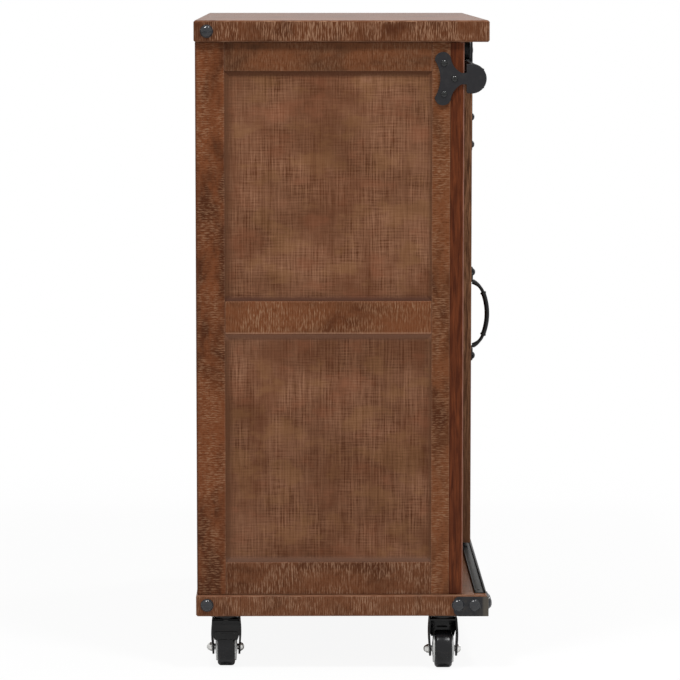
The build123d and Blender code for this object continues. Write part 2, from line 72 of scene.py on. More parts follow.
class Wire:
    """A value socket of a node tree; arithmetic on it adds Math nodes."""

    def __init__(self, nodes: "Nodes", socket: bpy.types.NodeSocket) -> None:
        """Keeps the socket and the tree that it belongs to."""
        self.nodes = nodes
        self.socket = socket

    def math(self, operation: str, first: "Value", second: "Value" = 0.0) -> "Wire":
        """Adds one Math node and takes its result."""
        return self.nodes.node("ShaderNodeMath", {"operation": operation}, {0: first, 1: second})

    def __add__(self, other: "Value") -> "Wire":
        """Self plus other."""
        return self.math("ADD", self, other)

    def __radd__(self, other: "Value") -> "Wire":
        """Other plus self."""
        return self.math("ADD", other, self)

    def __sub__(self, other: "Value") -> "Wire":
        """Self less other."""
        return self.math("SUBTRACT", self, other)

    def __rsub__(self, other: "Value") -> "Wire":
        """Other less self."""
        return self.math("SUBTRACT", other, self)

    def __mul__(self, other: "Value") -> "Wire":
        """Self times other."""
        return self.math("MULTIPLY", self, other)

    def __rmul__(self, other: "Value") -> "Wire":
        """Other times self."""
        return self.math("MULTIPLY", other, self)

    def least(self, other: "Value") -> "Wire":
        """The lower of self and other."""
        return self.math("MINIMUM", self, other)

    def most(self, other: "Value") -> "Wire":
        """The higher of self and other."""
        return self.math("MAXIMUM", self, other)

    def wave(self) -> "Wire":
        """The sine of self, in radians, from 0 to 1."""
        return self.math("SINE", self) * 0.5 + 0.5

    def rise(self, low: float, high: float) -> "Wire":
        """Goes smoothly from 0 at low to 1 at high."""
        inputs = {"Value": self, "From Min": low, "From Max": high}
        return self.nodes.node("ShaderNodeMapRange", {"interpolation_type": "SMOOTHSTEP"}, inputs)

    def fall(self, low: float, high: float) -> "Wire":
        """Goes smoothly from 1 at low to 0 at high."""
        return 1 - self.rise(low, high)

    def fade(self, share: float) -> "Wire":
        """Takes a share off 1 where self is 0, and nothing where self is 1."""
        return (1 - share) + share * self

    def towards(self, other: "Value", share: "Wire") -> "Wire":
        """Goes from self to other by a share."""
        return self + share * (other - self)


Value = Union[Wire, float]


class Nodes:
    """A node tree whose nodes all come from one method."""

    def __init__(self, tree: bpy.types.NodeTree) -> None:
        """Keeps the tree."""
        self.tree = tree

    def add(
        self, kind: str, settings: Optional[dict[str, Any]] = None, inputs: Optional[dict[Any, Any]] = None
    ) -> bpy.types.Node:
        """Adds any node.

        Args:
            kind: the node's type.
            settings: its own settings; "stops" fills a colour ramp.
            inputs: values or links of its sockets, by name or number.

        Returns:
            The new node.
        """
        node = self.tree.nodes.new(kind)
        for name, value in (settings or {}).items():
            if name == "stops":
                self.fill_ramp(node.color_ramp, value)
            else:
                setattr(node, name, value)
        for key, value in (inputs or {}).items():
            self.feed(node.inputs[key], value)
        return node

    def node(
        self,
        kind: str,
        settings: Optional[dict[str, Any]] = None,
        inputs: Optional[dict[Any, Any]] = None,
        output: Union[int, str] = 0,
    ) -> Wire:
        """Adds any node and takes one of its outputs."""
        return Wire(self, self.add(kind, settings, inputs).outputs[output])

    @staticmethod
    def fill_ramp(ramp: bpy.types.ColorRamp, stops: Sequence[tuple[float, Colour]]) -> None:
        """Sets a colour ramp's stops, which run from low to high."""
        while len(ramp.elements) < len(stops):
            ramp.elements.new(1.0)
        for element, (position, colour) in zip(ramp.elements, stops):
            element.position = position
            element.color = (*colour, 1.0)

    def feed(self, socket: bpy.types.NodeSocket, value: Any) -> None:
        """Links a wire to a socket, or sets a plain value or colour on it."""
        if isinstance(value, Wire):
            self.tree.links.new(value.socket, socket)
        elif socket.type == "RGBA" and len(value) == 3:
            socket.default_value = (*value, 1.0)
        else:
            socket.default_value = value


class Paint(Nodes):
    """A material in the making: its nodes and its surface shader."""

    def __init__(self, name: str) -> None:
        """Starts a material, whose name also sets where its patterns lie."""
        self.material = bpy.data.materials.new(name)
        self.material.use_nodes = True
        super().__init__(self.material.node_tree)
        self.tree.nodes.clear()
        self.draw = random.Random(name)
        self.shader = self.add("ShaderNodeBsdfPrincipled")
        self.surface = Wire(self, self.shader.outputs[0])
        self.output = self.add("ShaderNodeOutputMaterial", None, {"Surface": self.surface})
        self.place = self.node("ShaderNodeTexCoord", output="Object")

    def stretched(self, pitches: Sequence[float]) -> Wire:
        """Object coordinates in units of a pattern's pitch along X, Y and Z, from a drawn start.

        Args:
            pitches: the pattern's pitch along each axis, in metres.

        Returns:
            The coordinates.
        """
        start = [self.draw.uniform(-PATTERN_REACH, PATTERN_REACH) for _ in range(3)]
        scale = [1.0 / pitch for pitch in pitches]
        return self.node("ShaderNodeMapping", None, {"Vector": self.place, "Location": start, "Scale": scale})

    def cells(self, pitch: float) -> Wire:
        """Distance from the centres of scattered cells, for hammered or beaten surfaces."""
        inputs = {"Vector": self.stretched((pitch,) * 3), "Scale": 1.0}
        return self.node("ShaderNodeTexVoronoi", {"feature": "SMOOTH_F1"}, inputs)

    def mix(self, share: Value, first: Any, second: Any, blend: str = "MIX") -> Wire:
        """Mixes a share of a second colour into a first one."""
        settings = {"data_type": "RGBA", "blend_type": blend, "clamp_factor": True}
        return self.node("ShaderNodeMix", settings, {0: share, 6: first, 7: second}, output=2)

    def ramp(self, value: Wire, stops: Sequence[tuple[float, Colour]]) -> Wire:
        """The colour of a ramp at a value."""
        return self.node("ShaderNodeValToRGB", {"stops": stops}, {0: value})

    def axes(self) -> list[Wire]:
        """The three object coordinates, each as a value."""
        split = self.add("ShaderNodeSeparateXYZ", None, {0: self.place})
        return [Wire(self, socket) for socket in split.outputs]

    def axis(self, lie: Lie) -> Wire:
        """One object coordinate."""
        return self.axes()[lie.value]

    def margins(self, box: Box) -> list[Wire]:
        """Distances from the nearer end of a board's box along each axis, in metres."""
        low, high = box
        return [(axis - low[i]).least(high[i] - axis) for i, axis in enumerate(self.axes())]

    def bands(self, axis: Lie, pitch: float, sway: Wire, swing: float) -> Wire:
        """Even bands across one axis, as a saw leaves them, that sway a little.

        Args:
            axis: the axis that the bands lie across.
            pitch: their distance in metres.
            sway: the pattern of their swaying.
            swing: how far they sway, in radians of a band.

        Returns:
            A value from 0 between the bands to 1 on them.
        """
        turns = self.axis(axis) * (2 * math.pi / pitch)
        return (turns + (sway - 0.5) * swing).wave()

    def bump(self, height: Wire, strength: float, depth: float) -> Wire:
        """The normal of a relief that is depth high and shows by its strength."""
        return self.node("ShaderNodeBump", None, {"Strength": strength, "Distance": depth, "Height": height})

    def finish(self, **sockets: Any) -> bpy.types.Material:
        """Sets or links the surface shader's sockets.

        Args:
            **sockets: values or wires, named as the sockets with underscores for spaces.

        Returns:
            The finished material.
        """
        for name, value in sockets.items():
            self.feed(self.shader.inputs[name.replace("_", " ")], value)
        return self.material


@dataclass(frozen=True)
class Pattern:
    """A cloudy pattern: its pitch along a board and across it, its finer layers, and its span."""

    length: float
    width: float
    detail: float = 2.0
    rough: float = 0.5
    warp: float = 0.0
    span: Optional[Span] = None

    def on(self, paint: Paint, lie: Lie = Lie.UPRIGHT) -> Wire:
        """Lays the pattern on a board.

        Args:
            paint: the material in the making.
            lie: the axis of the board's length.

        Returns:
            The pattern's value from 0 to 1.
        """
        pitches = [self.length if axis is lie else self.width for axis in Lie]
        inputs = {"Vector": paint.stretched(pitches), "Scale": 1.0, "Detail": self.detail}
        inputs.update({"Roughness": self.rough, "Distortion": self.warp})
        value = paint.node("ShaderNodeTexNoise", None, inputs)
        return value.rise(*self.span) if self.span else value


def weighed(wires: Sequence[Wire], weights: Sequence[float]) -> Wire:
    """The sum of some values, each times its weight."""
    first, *rest = [wire * weight for wire, weight in zip(wires, weights)]
    return sum(rest, first)


def edge_distance(margins: Sequence[Wire]) -> Wire:
    """Distance of a point on a box from the box's nearest edge: the second lowest of its margins."""
    first, second, third = margins
    return first.least(second).most(first.most(second).least(third))


@dataclass(frozen=True)
class SawnFir:
    """Stained fir with saw marks across its length, lighter on its edges by wear and by painted highlight."""

    name: str = "sawn_fir"
    dark: Colour = (0.056, 0.0150, 0.0045)
    brown: Colour = (0.082, 0.0275, 0.0102)
    red: Colour = (0.148, 0.0490, 0.0183)
    tan: Colour = (0.246, 0.130, 0.071)
    # light colour of worn edges, also laid on as painted highlight along the arrises and feet
    wear_and_highlight: Colour = (0.300, 0.165, 0.105)
    cloud: Pattern = Pattern(0.105, 0.050, 4.0, 0.6, 0.5, (0.29, 0.62))
    brown_stop: float = 0.34
    warm: Pattern = Pattern(0.045, 0.020, 3.0, 0.55, span=(0.44, 0.66))
    warm_share: float = 0.76
    warm_loss: float = 0.38
    fibre: Pattern = Pattern(0.030, 0.0010, 3.0, 0.65)
    fibre_span: Span = (0.52, 0.72)
    fibre_share: float = 0.35
    patch: Pattern = Pattern(0.052, 0.026, 3.0, 0.55, span=(0.38, 0.58))
    patch_fade: float = 0.78
    cloud_fade: float = 0.34
    mark_pitch: float = 0.0014
    mark_run: float = 0.0055
    mark_share: float = 0.80
    mark_rough: float = 0.55
    mark_warp: float = 0.04
    mark_weights: Sequence[float] = (0.55, 0.35, 0.10)
    broad_pitches: float = 2.1
    broad_runs: float = 1.7
    band_pitches: float = 2.2
    band_sway: Pattern = Pattern(0.010, 0.020)
    band_swing: float = 12.0
    stroke_span: Span = (0.46, 0.63)
    hollow_span: Span = (0.34, 0.46)
    hollow_share: float = 0.50
    end_span: Span = (0.0002, 0.0005)
    face_span: Span = (0.0003, 0.0010)
    ragged: Pattern = Pattern(0.005, 0.005, 3.0)
    ragged_reach: float = 0.0030
    # lighter along every edge: partly wear, partly painted highlight on the lit arrises
    arris_span: Span = (0.0004, 0.0019)
    arris_share: float = 0.20
    # painted highlight along the foot, for the bright lower arris of a rail
    foot_highlight_span: Span = (0.0014, 0.0036)
    foot_highlight_share: float = 0.0
    # painted shade along the back edge, where the rounded arris falls into shadow
    rear_edge_shade_span: Span = (0.0010, 0.0032)
    rear_edge_shade_share: float = 0.0
    plain_axis: Optional[Lie] = None
    plain_dark: Colour = (0.085, 0.034, 0.016)
    plain_light: Colour = (0.300, 0.142, 0.072)
    plain_span: Span = (0.40, 0.62)
    # the plain faces darken towards the foot as painted shade, over this share of their height
    plain_shade_height: float = 0.6
    plain_foot_shade: float = 0.60
    lying_roughness: float = 0.35
    lying_stretch: float = 7.0
    lying_span: Span = (0.40, 0.66)
    lying_share: float = 0.42
    roughness: float = 0.46
    stroke_roughness: float = 0.16
    cloud_gloss: float = 0.08
    specular: float = 0.08
    relief_weights: Sequence[float] = (0.75, 0.25)
    relief: Span = (0.50, 0.0008)

    def marks(self, paint: Paint, lie: Lie, stretch: float = 1.0) -> Wire:
        """Saw marks across one axis: short fine ones with longer, broader ones among them.

        Args:
            paint: the material in the making.
            lie: the axis that the marks lie across.
            stretch: how many times longer than usual they are.

        Returns:
            Their height from 0 to 1.
        """
        pitch, run = self.mark_pitch, self.mark_run * stretch
        layers = ((pitch, run), (pitch * self.broad_pitches, run * self.broad_runs))
        style = {"rough": self.mark_rough, "warp": self.mark_warp}
        rows = [Pattern(*layer, **style).on(paint, lie) for layer in layers]
        sway = self.band_sway.on(paint, lie)
        rows.append(paint.bands(lie, pitch * self.band_pitches, sway, self.band_swing))
        return weighed(rows, self.mark_weights)

    def material(self, board: str, lie: Lie, box: Box) -> bpy.types.Material:
        """Mixes the finish for one board.

        Args:
            board: the board's node, which the pattern's place is drawn from.
            lie: the axis of its length.
            box: its lowest and highest corners.

        Returns:
            The board's material.
        """
        paint = Paint(f"{self.name}_{board}")
        size = box[1] - box[0]
        wide = max((axis for axis in Lie if axis is not lie), key=lambda axis: size[axis.value])
        margins = paint.margins(box)
        end = margins[lie.value].fall(*self.end_span)
        cloud, warm, fibre = (pattern.on(paint, lie) for pattern in (self.cloud, self.warm, self.fibre))
        marks = self.marks(paint, lie)
        marks = marks.towards(self.marks(paint, wide), end)
        strokes = marks.rise(*self.stroke_span)
        patch = self.patch.on(paint, lie)
        stain = paint.ramp(cloud, ((0.0, self.dark), (self.brown_stop, self.brown), (1.0, self.red)))
        stain = paint.mix(warm * (self.warm_share - self.warm_loss * patch), stain, self.red)
        stain = paint.mix(fibre.rise(*self.fibre_span) * self.fibre_share, stain, self.dark)
        colour = paint.mix(marks.fall(*self.hollow_span) * self.hollow_share, stain, self.dark)
        share = patch.fade(self.patch_fade) * cloud.fade(self.cloud_fade) * self.mark_share
        colour = paint.mix(strokes * share, colour, self.tan)
        if self.plain_axis:
            plain = margins[self.plain_axis.value].fall(*self.face_span)
            # painted shade: the plain faces' light streaks fade towards the foot
            above = paint.axis(Lie.UPRIGHT) - box[0].z
            painted_shade_lift = above.rise(0.0, size.z * self.plain_shade_height)
            streaks = fibre.rise(*self.plain_span) * painted_shade_lift.fade(self.plain_foot_shade)
            colour = paint.mix(plain, colour, paint.mix(streaks, self.plain_dark, self.plain_light))
        # lighter along every edge: partly wear, partly painted highlight on the lit arrises
        ragged = (self.ragged.on(paint) - 0.5) * self.ragged_reach
        arris = (edge_distance(margins) + ragged).fall(*self.arris_span)
        colour = paint.mix(arris * self.arris_share, colour, self.wear_and_highlight)
        # painted highlight: lighter along the board's foot
        if self.foot_highlight_share:
            foot = (paint.axis(Lie.UPRIGHT) - box[0].z).fall(*self.foot_highlight_span)
            colour = paint.mix(foot * self.foot_highlight_share, colour, self.wear_and_highlight)
        # painted shade: darker along the back edge
        if self.rear_edge_shade_share:
            back = (box[1].y - paint.axis(Lie.DEEP)).fall(*self.rear_edge_shade_span)
            colour = paint.mix(back * self.rear_edge_shade_share, colour, self.dark)
        lying = margins[Lie.UPRIGHT.value].fall(*self.face_span)
        if lie is not Lie.UPRIGHT:
            long_marks = self.marks(paint, lie, self.lying_stretch)
            combed = paint.mix(long_marks.rise(*self.lying_span) * self.lying_share, stain, self.tan)
            colour = paint.mix(lying, colour, combed)
            marks = marks.towards(long_marks, lying)
        roughness = self.roughness + self.stroke_roughness * strokes - self.cloud_gloss * cloud
        return paint.finish(
            Base_Color=colour,
            Roughness=roughness.towards(self.lying_roughness, lying),
            Specular_IOR_Level=self.specular,
            Normal=paint.bump(weighed((marks, fibre), self.relief_weights), *self.relief),
        )


@dataclass(frozen=True)
class CrossSawnPanel:
    """A thin stained panel with fine saw marks both ways and painted shade along its dished border."""

    name: str = "cross_sawn_panel"
    dark: Colour = (0.083, 0.0266, 0.0102)
    light: Colour = (0.286, 0.140, 0.080)
    plum: Colour = (0.125, 0.0455, 0.0210)
    straw: Colour = (0.233, 0.114, 0.049)
    rust: Colour = (0.245, 0.089, 0.0455)
    shade: Colour = (0.74, 0.71, 0.67)
    upright: Pattern = Pattern(0.036, 0.0017, 4.0, 0.62, 0.03)
    level: Pattern = Pattern(0.0017, 0.022, 4.0, 0.62, 0.03)
    upright_pitch: float = 0.0040
    upright_sway: Pattern = Pattern(0.050, 0.014)
    level_pitch: float = 0.0038
    level_sway: Pattern = Pattern(0.014, 0.040)
    band_swing: float = 7.0
    mark_weights: Sequence[float] = (0.58, 0.31, 0.06, 0.05)
    depth: Pattern = Pattern(0.07, 0.045, span=(0.36, 0.64))
    depth_least: float = 0.53
    depth_gain: float = 0.55
    weave_span: Span = (0.32, 0.68)
    broad: Pattern = Pattern(0.09, 0.06, 4.0, 0.6, span=(0.44, 0.66))
    broad_share: float = 0.58
    hue: Pattern = Pattern(0.035, 0.060, 4.0, 0.6)
    straw_span: Span = (0.36, 0.50)
    straw_share: float = 0.38
    rust_span: Span = (0.52, 0.70)
    rust_share: float = 0.36
    streak: Pattern = Pattern(0.16, 0.009, 3.0, 0.55, span=(0.52, 0.72))
    streak_share: float = 0.32
    tone: Pattern = Pattern(0.060, 0.13, span=(0.34, 0.66))
    # tints of the painted shade along the border, darker at the frame where the recess and the rails shade it
    side_border_shade: Colour = (0.086, 0.036, 0.0180)
    top_border_shading: Colour = (0.086, 0.032, 0.0155)
    bottom_border_shade: Colour = (0.062, 0.025, 0.015)
    front_span: Span = (0.0, 0.0068)
    rear_span: Span = (0.0, 0.01428)
    top_span: Span = (0.001, 0.01156)
    bottom_span: Span = (0.002, 0.0102)
    front_shade: float = 0.70
    rear_shade: float = 0.85
    top_shade: float = 0.9
    bottom_shade: float = 0.90
    roughness: float = 0.50
    weave_roughness: float = 0.12
    specular: float = 0.05
    relief: Span = (0.30, 0.0005)

    def weave(self, paint: Paint, wide: Lie) -> Wire:
        """Upright and level saw marks that cross, deeper in some places than in others.

        Args:
            paint: the material in the making.
            wide: the axis of the panel's width.

        Returns:
            Their height, round 0.5.
        """
        marks = [self.upright.on(paint), self.level.on(paint)]
        marks.append(paint.bands(wide, self.upright_pitch, self.upright_sway.on(paint), self.band_swing))
        marks.append(paint.bands(Lie.UPRIGHT, self.level_pitch, self.level_sway.on(paint), self.band_swing))
        depth = self.depth_least + self.depth_gain * self.depth.on(paint)
        return 0.5 + (weighed(marks, self.mark_weights) - 0.5) * depth

    def material(self, board: str, box: Box) -> bpy.types.Material:
        """Mixes the finish for one upright panel.

        Args:
            board: the panel's node, which the pattern's place is drawn from.
            box: its lowest and highest corners.

        Returns:
            The panel's material.
        """
        paint = Paint(f"{self.name}_{board}")
        low, high = box
        wide = Lie.ACROSS if high.x - low.x > high.y - low.y else Lie.DEEP
        weave = self.weave(paint, wide)
        broad, hue, streak, tone = (each.on(paint) for each in (self.broad, self.hue, self.streak, self.tone))
        colour = paint.mix(weave.rise(*self.weave_span), self.dark, self.light)
        colour = paint.mix(broad * self.broad_share, colour, self.plum)
        colour = paint.mix(hue.fall(*self.straw_span) * self.straw_share, colour, self.straw)
        colour = paint.mix(hue.rise(*self.rust_span) * self.rust_share, colour, self.rust)
        colour = paint.mix(streak * self.streak_share, colour, self.dark)
        colour = paint.mix(tone, colour, self.shade, "MULTIPLY")
        across, height = paint.axis(wide), paint.axis(Lie.UPRIGHT)
        # painted shade in bands along the frame, fading towards the middle; a light top tint paints light
        # against a rail's cast shadow instead
        border_shading = (
            (across - low[wide.value], self.front_span, self.front_shade, self.side_border_shade),
            (high[wide.value] - across, self.rear_span, self.rear_shade, self.side_border_shade),
            (high.z - height, self.top_span, self.top_shade, self.top_border_shading),
            (height - low.z, self.bottom_span, self.bottom_shade, self.bottom_border_shade),
        )
        for inside, span, shade, tint in border_shading:
            colour = paint.mix(inside.fall(*span) * shade, colour, tint)
        return paint.finish(
            Base_Color=colour,
            Roughness=self.roughness + self.weave_roughness * (1 - weave),
            Specular_IOR_Level=self.specular,
            Normal=paint.bump(weave, *self.relief),
        )


@dataclass(frozen=True)
class SmoothFir:
    """Planed fir with a red stain, fine grain along its length and lighter front arrises, partly wear and
    partly painted highlight.
    """

    name: str = "smooth_fir"
    dark: Colour = (0.049, 0.0108, 0.0036)
    red: Colour = (0.134, 0.0345, 0.0112)
    # light colour of the front arrises: wear and painted highlight
    wear_and_highlight: Colour = (0.300, 0.150, 0.110)
    grain: Pattern = Pattern(0.045, 0.0032, 4.0, 0.6, 0.4)
    grain_span: Span = (0.30, 0.70)
    fibre: Pattern = Pattern(0.012, 0.0009)
    cloud: Pattern = Pattern(0.07, 0.030, 3.0, span=(0.42, 0.68))
    cloud_share: float = 0.50
    ragged: Pattern = Pattern(0.020, 0.006)
    ragged_reach: float = 0.0014
    arris_span: Span = (0.0006, 0.0017)
    arris_share: float = 0.80
    front_span: Span = (0.004, 0.008)
    roughness: float = 0.40
    fibre_roughness: float = 0.14
    specular: float = 0.08
    relief_weights: Sequence[float] = (0.6, 0.4)
    relief: Span = (0.30, 0.0005)

    def material(self, board: str, lie: Lie, box: Box) -> bpy.types.Material:
        """Mixes the finish for one board.

        Args:
            board: the board's node, which the pattern's place is drawn from.
            lie: the axis of its length.
            box: its lowest and highest corners.

        Returns:
            The board's material.
        """
        paint = Paint(f"{self.name}_{board}")
        grain, fibre, cloud = (pattern.on(paint, lie) for pattern in (self.grain, self.fibre, self.cloud))
        colour = paint.mix(grain.rise(*self.grain_span), self.dark, self.red)
        colour = paint.mix(cloud * self.cloud_share, colour, self.dark)
        # lighter along the front arrises: partly wear, partly painted highlight on the lit edge
        ragged = (self.ragged.on(paint, lie) - 0.5) * self.ragged_reach
        arris = (edge_distance(paint.margins(box)) + ragged).fall(*self.arris_span)
        front = (paint.axis(Lie.DEEP) - box[0].y).fall(*self.front_span)
        colour = paint.mix(arris * front * self.arris_share, colour, self.wear_and_highlight)
        return paint.finish(
            Base_Color=colour,
            Roughness=self.roughness + self.fibre_roughness * fibre,
            Specular_IOR_Level=self.specular,
            Normal=paint.bump(weighed((grain, fibre), self.relief_weights), *self.relief),
        )


@dataclass(frozen=True)
class PressedBoard:
    """Brown fibre board, as behind the shelves."""

    name: str = "pressed_board"
    dark: Colour = (0.070, 0.032, 0.016)
    light: Colour = (0.135, 0.066, 0.034)
    flecks: Pattern = Pattern(0.0016, 0.0016, 3.0, 0.7)
    cloud: Pattern = Pattern(0.12, 0.12, 3.0)
    weights: Sequence[float] = (0.6, 0.4)
    light_span: Span = (0.36, 0.64)
    roughness: float = 0.62
    fleck_roughness: float = 0.15
    specular: float = 0.08
    relief: Span = (0.25, 0.0003)

    def material(self) -> bpy.types.Material:
        """Mixes the finish."""
        paint = Paint(self.name)
        flecks, cloud = self.flecks.on(paint), self.cloud.on(paint)
        shares = weighed((flecks, cloud), self.weights).rise(*self.light_span)
        return paint.finish(
            Base_Color=paint.mix(shares, self.dark, self.light),
            Roughness=self.roughness + self.fleck_roughness * flecks,
            Specular_IOR_Level=self.specular,
            Normal=paint.bump(flecks, *self.relief),
        )


@dataclass(frozen=True)
class DarkMetal:
    """Dark painted or blackened iron, mottled and slightly beaten."""

    name: str
    base: Colour = (0.0105, 0.0100, 0.0118)
    wear_and_highlight: Colour = (0.022, 0.021, 0.021)
    mottle: Pattern = Pattern(0.010, 0.010, 4.0, 0.6)
    mottle_span: Span = (0.48, 0.70)
    mottle_roughness: float = 0.18
    wear_share: float = 0.5
    grit: Pattern = Pattern(0.0009, 0.0009)
    grit_roughness: float = 0.10
    roughness: float = 0.44
    specular: float = 0.28
    beaten_pitch: float = 0.0050
    beaten_share: float = 0.25
    beaten_depth: float = 0.0002
    beaten_weights: Sequence[float] = (0.8, 0.2)

    def painted_highlight(self, paint: Paint) -> Value:
        """Where a highlight is painted on, from 0 to 1: nowhere on a plain piece."""
        return 0.0

    def material(self) -> bpy.types.Material:
        """Mixes the finish."""
        paint = Paint(self.name)
        mottle, grit = self.mottle.on(paint), self.grit.on(paint)
        dents = paint.cells(self.beaten_pitch)
        # mottled wear, with any painted highlight along a bend laid over it
        wear = (mottle.rise(*self.mottle_span) * self.wear_share).most(self.painted_highlight(paint))
        roughness = self.roughness + self.mottle_roughness * (mottle - 0.5)
        height = weighed((dents, grit), self.beaten_weights)
        return paint.finish(
            Base_Color=paint.mix(wear, self.base, self.wear_and_highlight),
            Roughness=roughness + self.grit_roughness * (grit - 0.5),
            Specular_IOR_Level=self.specular,
            Normal=paint.bump(height, self.beaten_share, self.beaten_depth),
        )


@dataclass(frozen=True)
class BentIron(DarkMetal):
    """Dark iron strap with a painted highlight along its bend round a corner."""

    corner: tuple[float, float] = (0.370, -0.18075)
    reach: float = 0.0075
    painted_highlight_share: float = 0.85

    def painted_highlight(self, paint: Paint) -> Value:
        """Where a highlight is painted on: along the bend, on both sides of the object.

        Args:
            paint: the material in the making.

        Returns:
            The share of painted highlight.
        """
        across, deep, _ = paint.axes()
        wide, front = self.corner
        beside = (across * across).rise((wide - self.reach) ** 2, (wide - self.reach / 2) ** 2)
        return beside * (deep - front).fall(self.reach / 2, self.reach) * self.painted_highlight_share


@dataclass(frozen=True)
class BrightMetal:
    """Zinc plated steel with fine turning marks."""

    name: str
    base: Colour = (0.66, 0.66, 0.64)
    dull: Colour = (0.40, 0.40, 0.40)
    cloud: Pattern = Pattern(0.004, 0.004, 3.0, 0.6)
    dull_span: Span = (0.45, 0.70)
    dull_share: float = 0.6
    lines: Pattern = Pattern(0.0003, 0.0040)
    roughness: float = 0.26
    cloud_roughness: float = 0.20
    relief: Span = (0.12, 0.0001)

    def material(self) -> bpy.types.Material:
        """Mixes the finish."""
        paint = Paint(self.name)
        cloud, lines = self.cloud.on(paint), self.lines.on(paint, Lie.DEEP)
        return paint.finish(
            Base_Color=paint.mix(cloud.rise(*self.dull_span) * self.dull_share, self.base, self.dull),
            Metallic=1.0,
            Roughness=self.roughness + self.cloud_roughness * cloud,
            Normal=paint.bump(lines, *self.relief),
        )


@dataclass(frozen=True)
class Moulded:
    """Moulded plastic or rubber with faint dust and a fine surface grain."""

    name: str
    base: Colour
    dust: Colour
    roughness: float
    cloud: Pattern = Pattern(0.012, 0.012, 4.0, 0.6)
    dust_span: Span = (0.50, 0.78)
    dust_share: float = 0.35
    dull_span: Span = (0.45, 0.80)
    dull_roughness: float = 0.22
    grain: Pattern = Pattern(0.0006, 0.0006, 1.0)
    grain_roughness: float = 0.04
    specular: float = 0.3
    relief: Span = (0.10, 0.0001)

    def material(self) -> bpy.types.Material:
        """Mixes the finish."""
        paint = Paint(self.name)
        cloud, grain = self.cloud.on(paint), self.grain.on(paint)
        dull = self.dull_roughness * cloud.rise(*self.dull_span)
        return paint.finish(
            Base_Color=paint.mix(cloud.rise(*self.dust_span) * self.dust_share, self.base, self.dust),
            Roughness=self.roughness + dull + self.grain_roughness * grain,
            Specular_IOR_Level=self.specular,
            Normal=paint.bump(grain, *self.relief),
        )


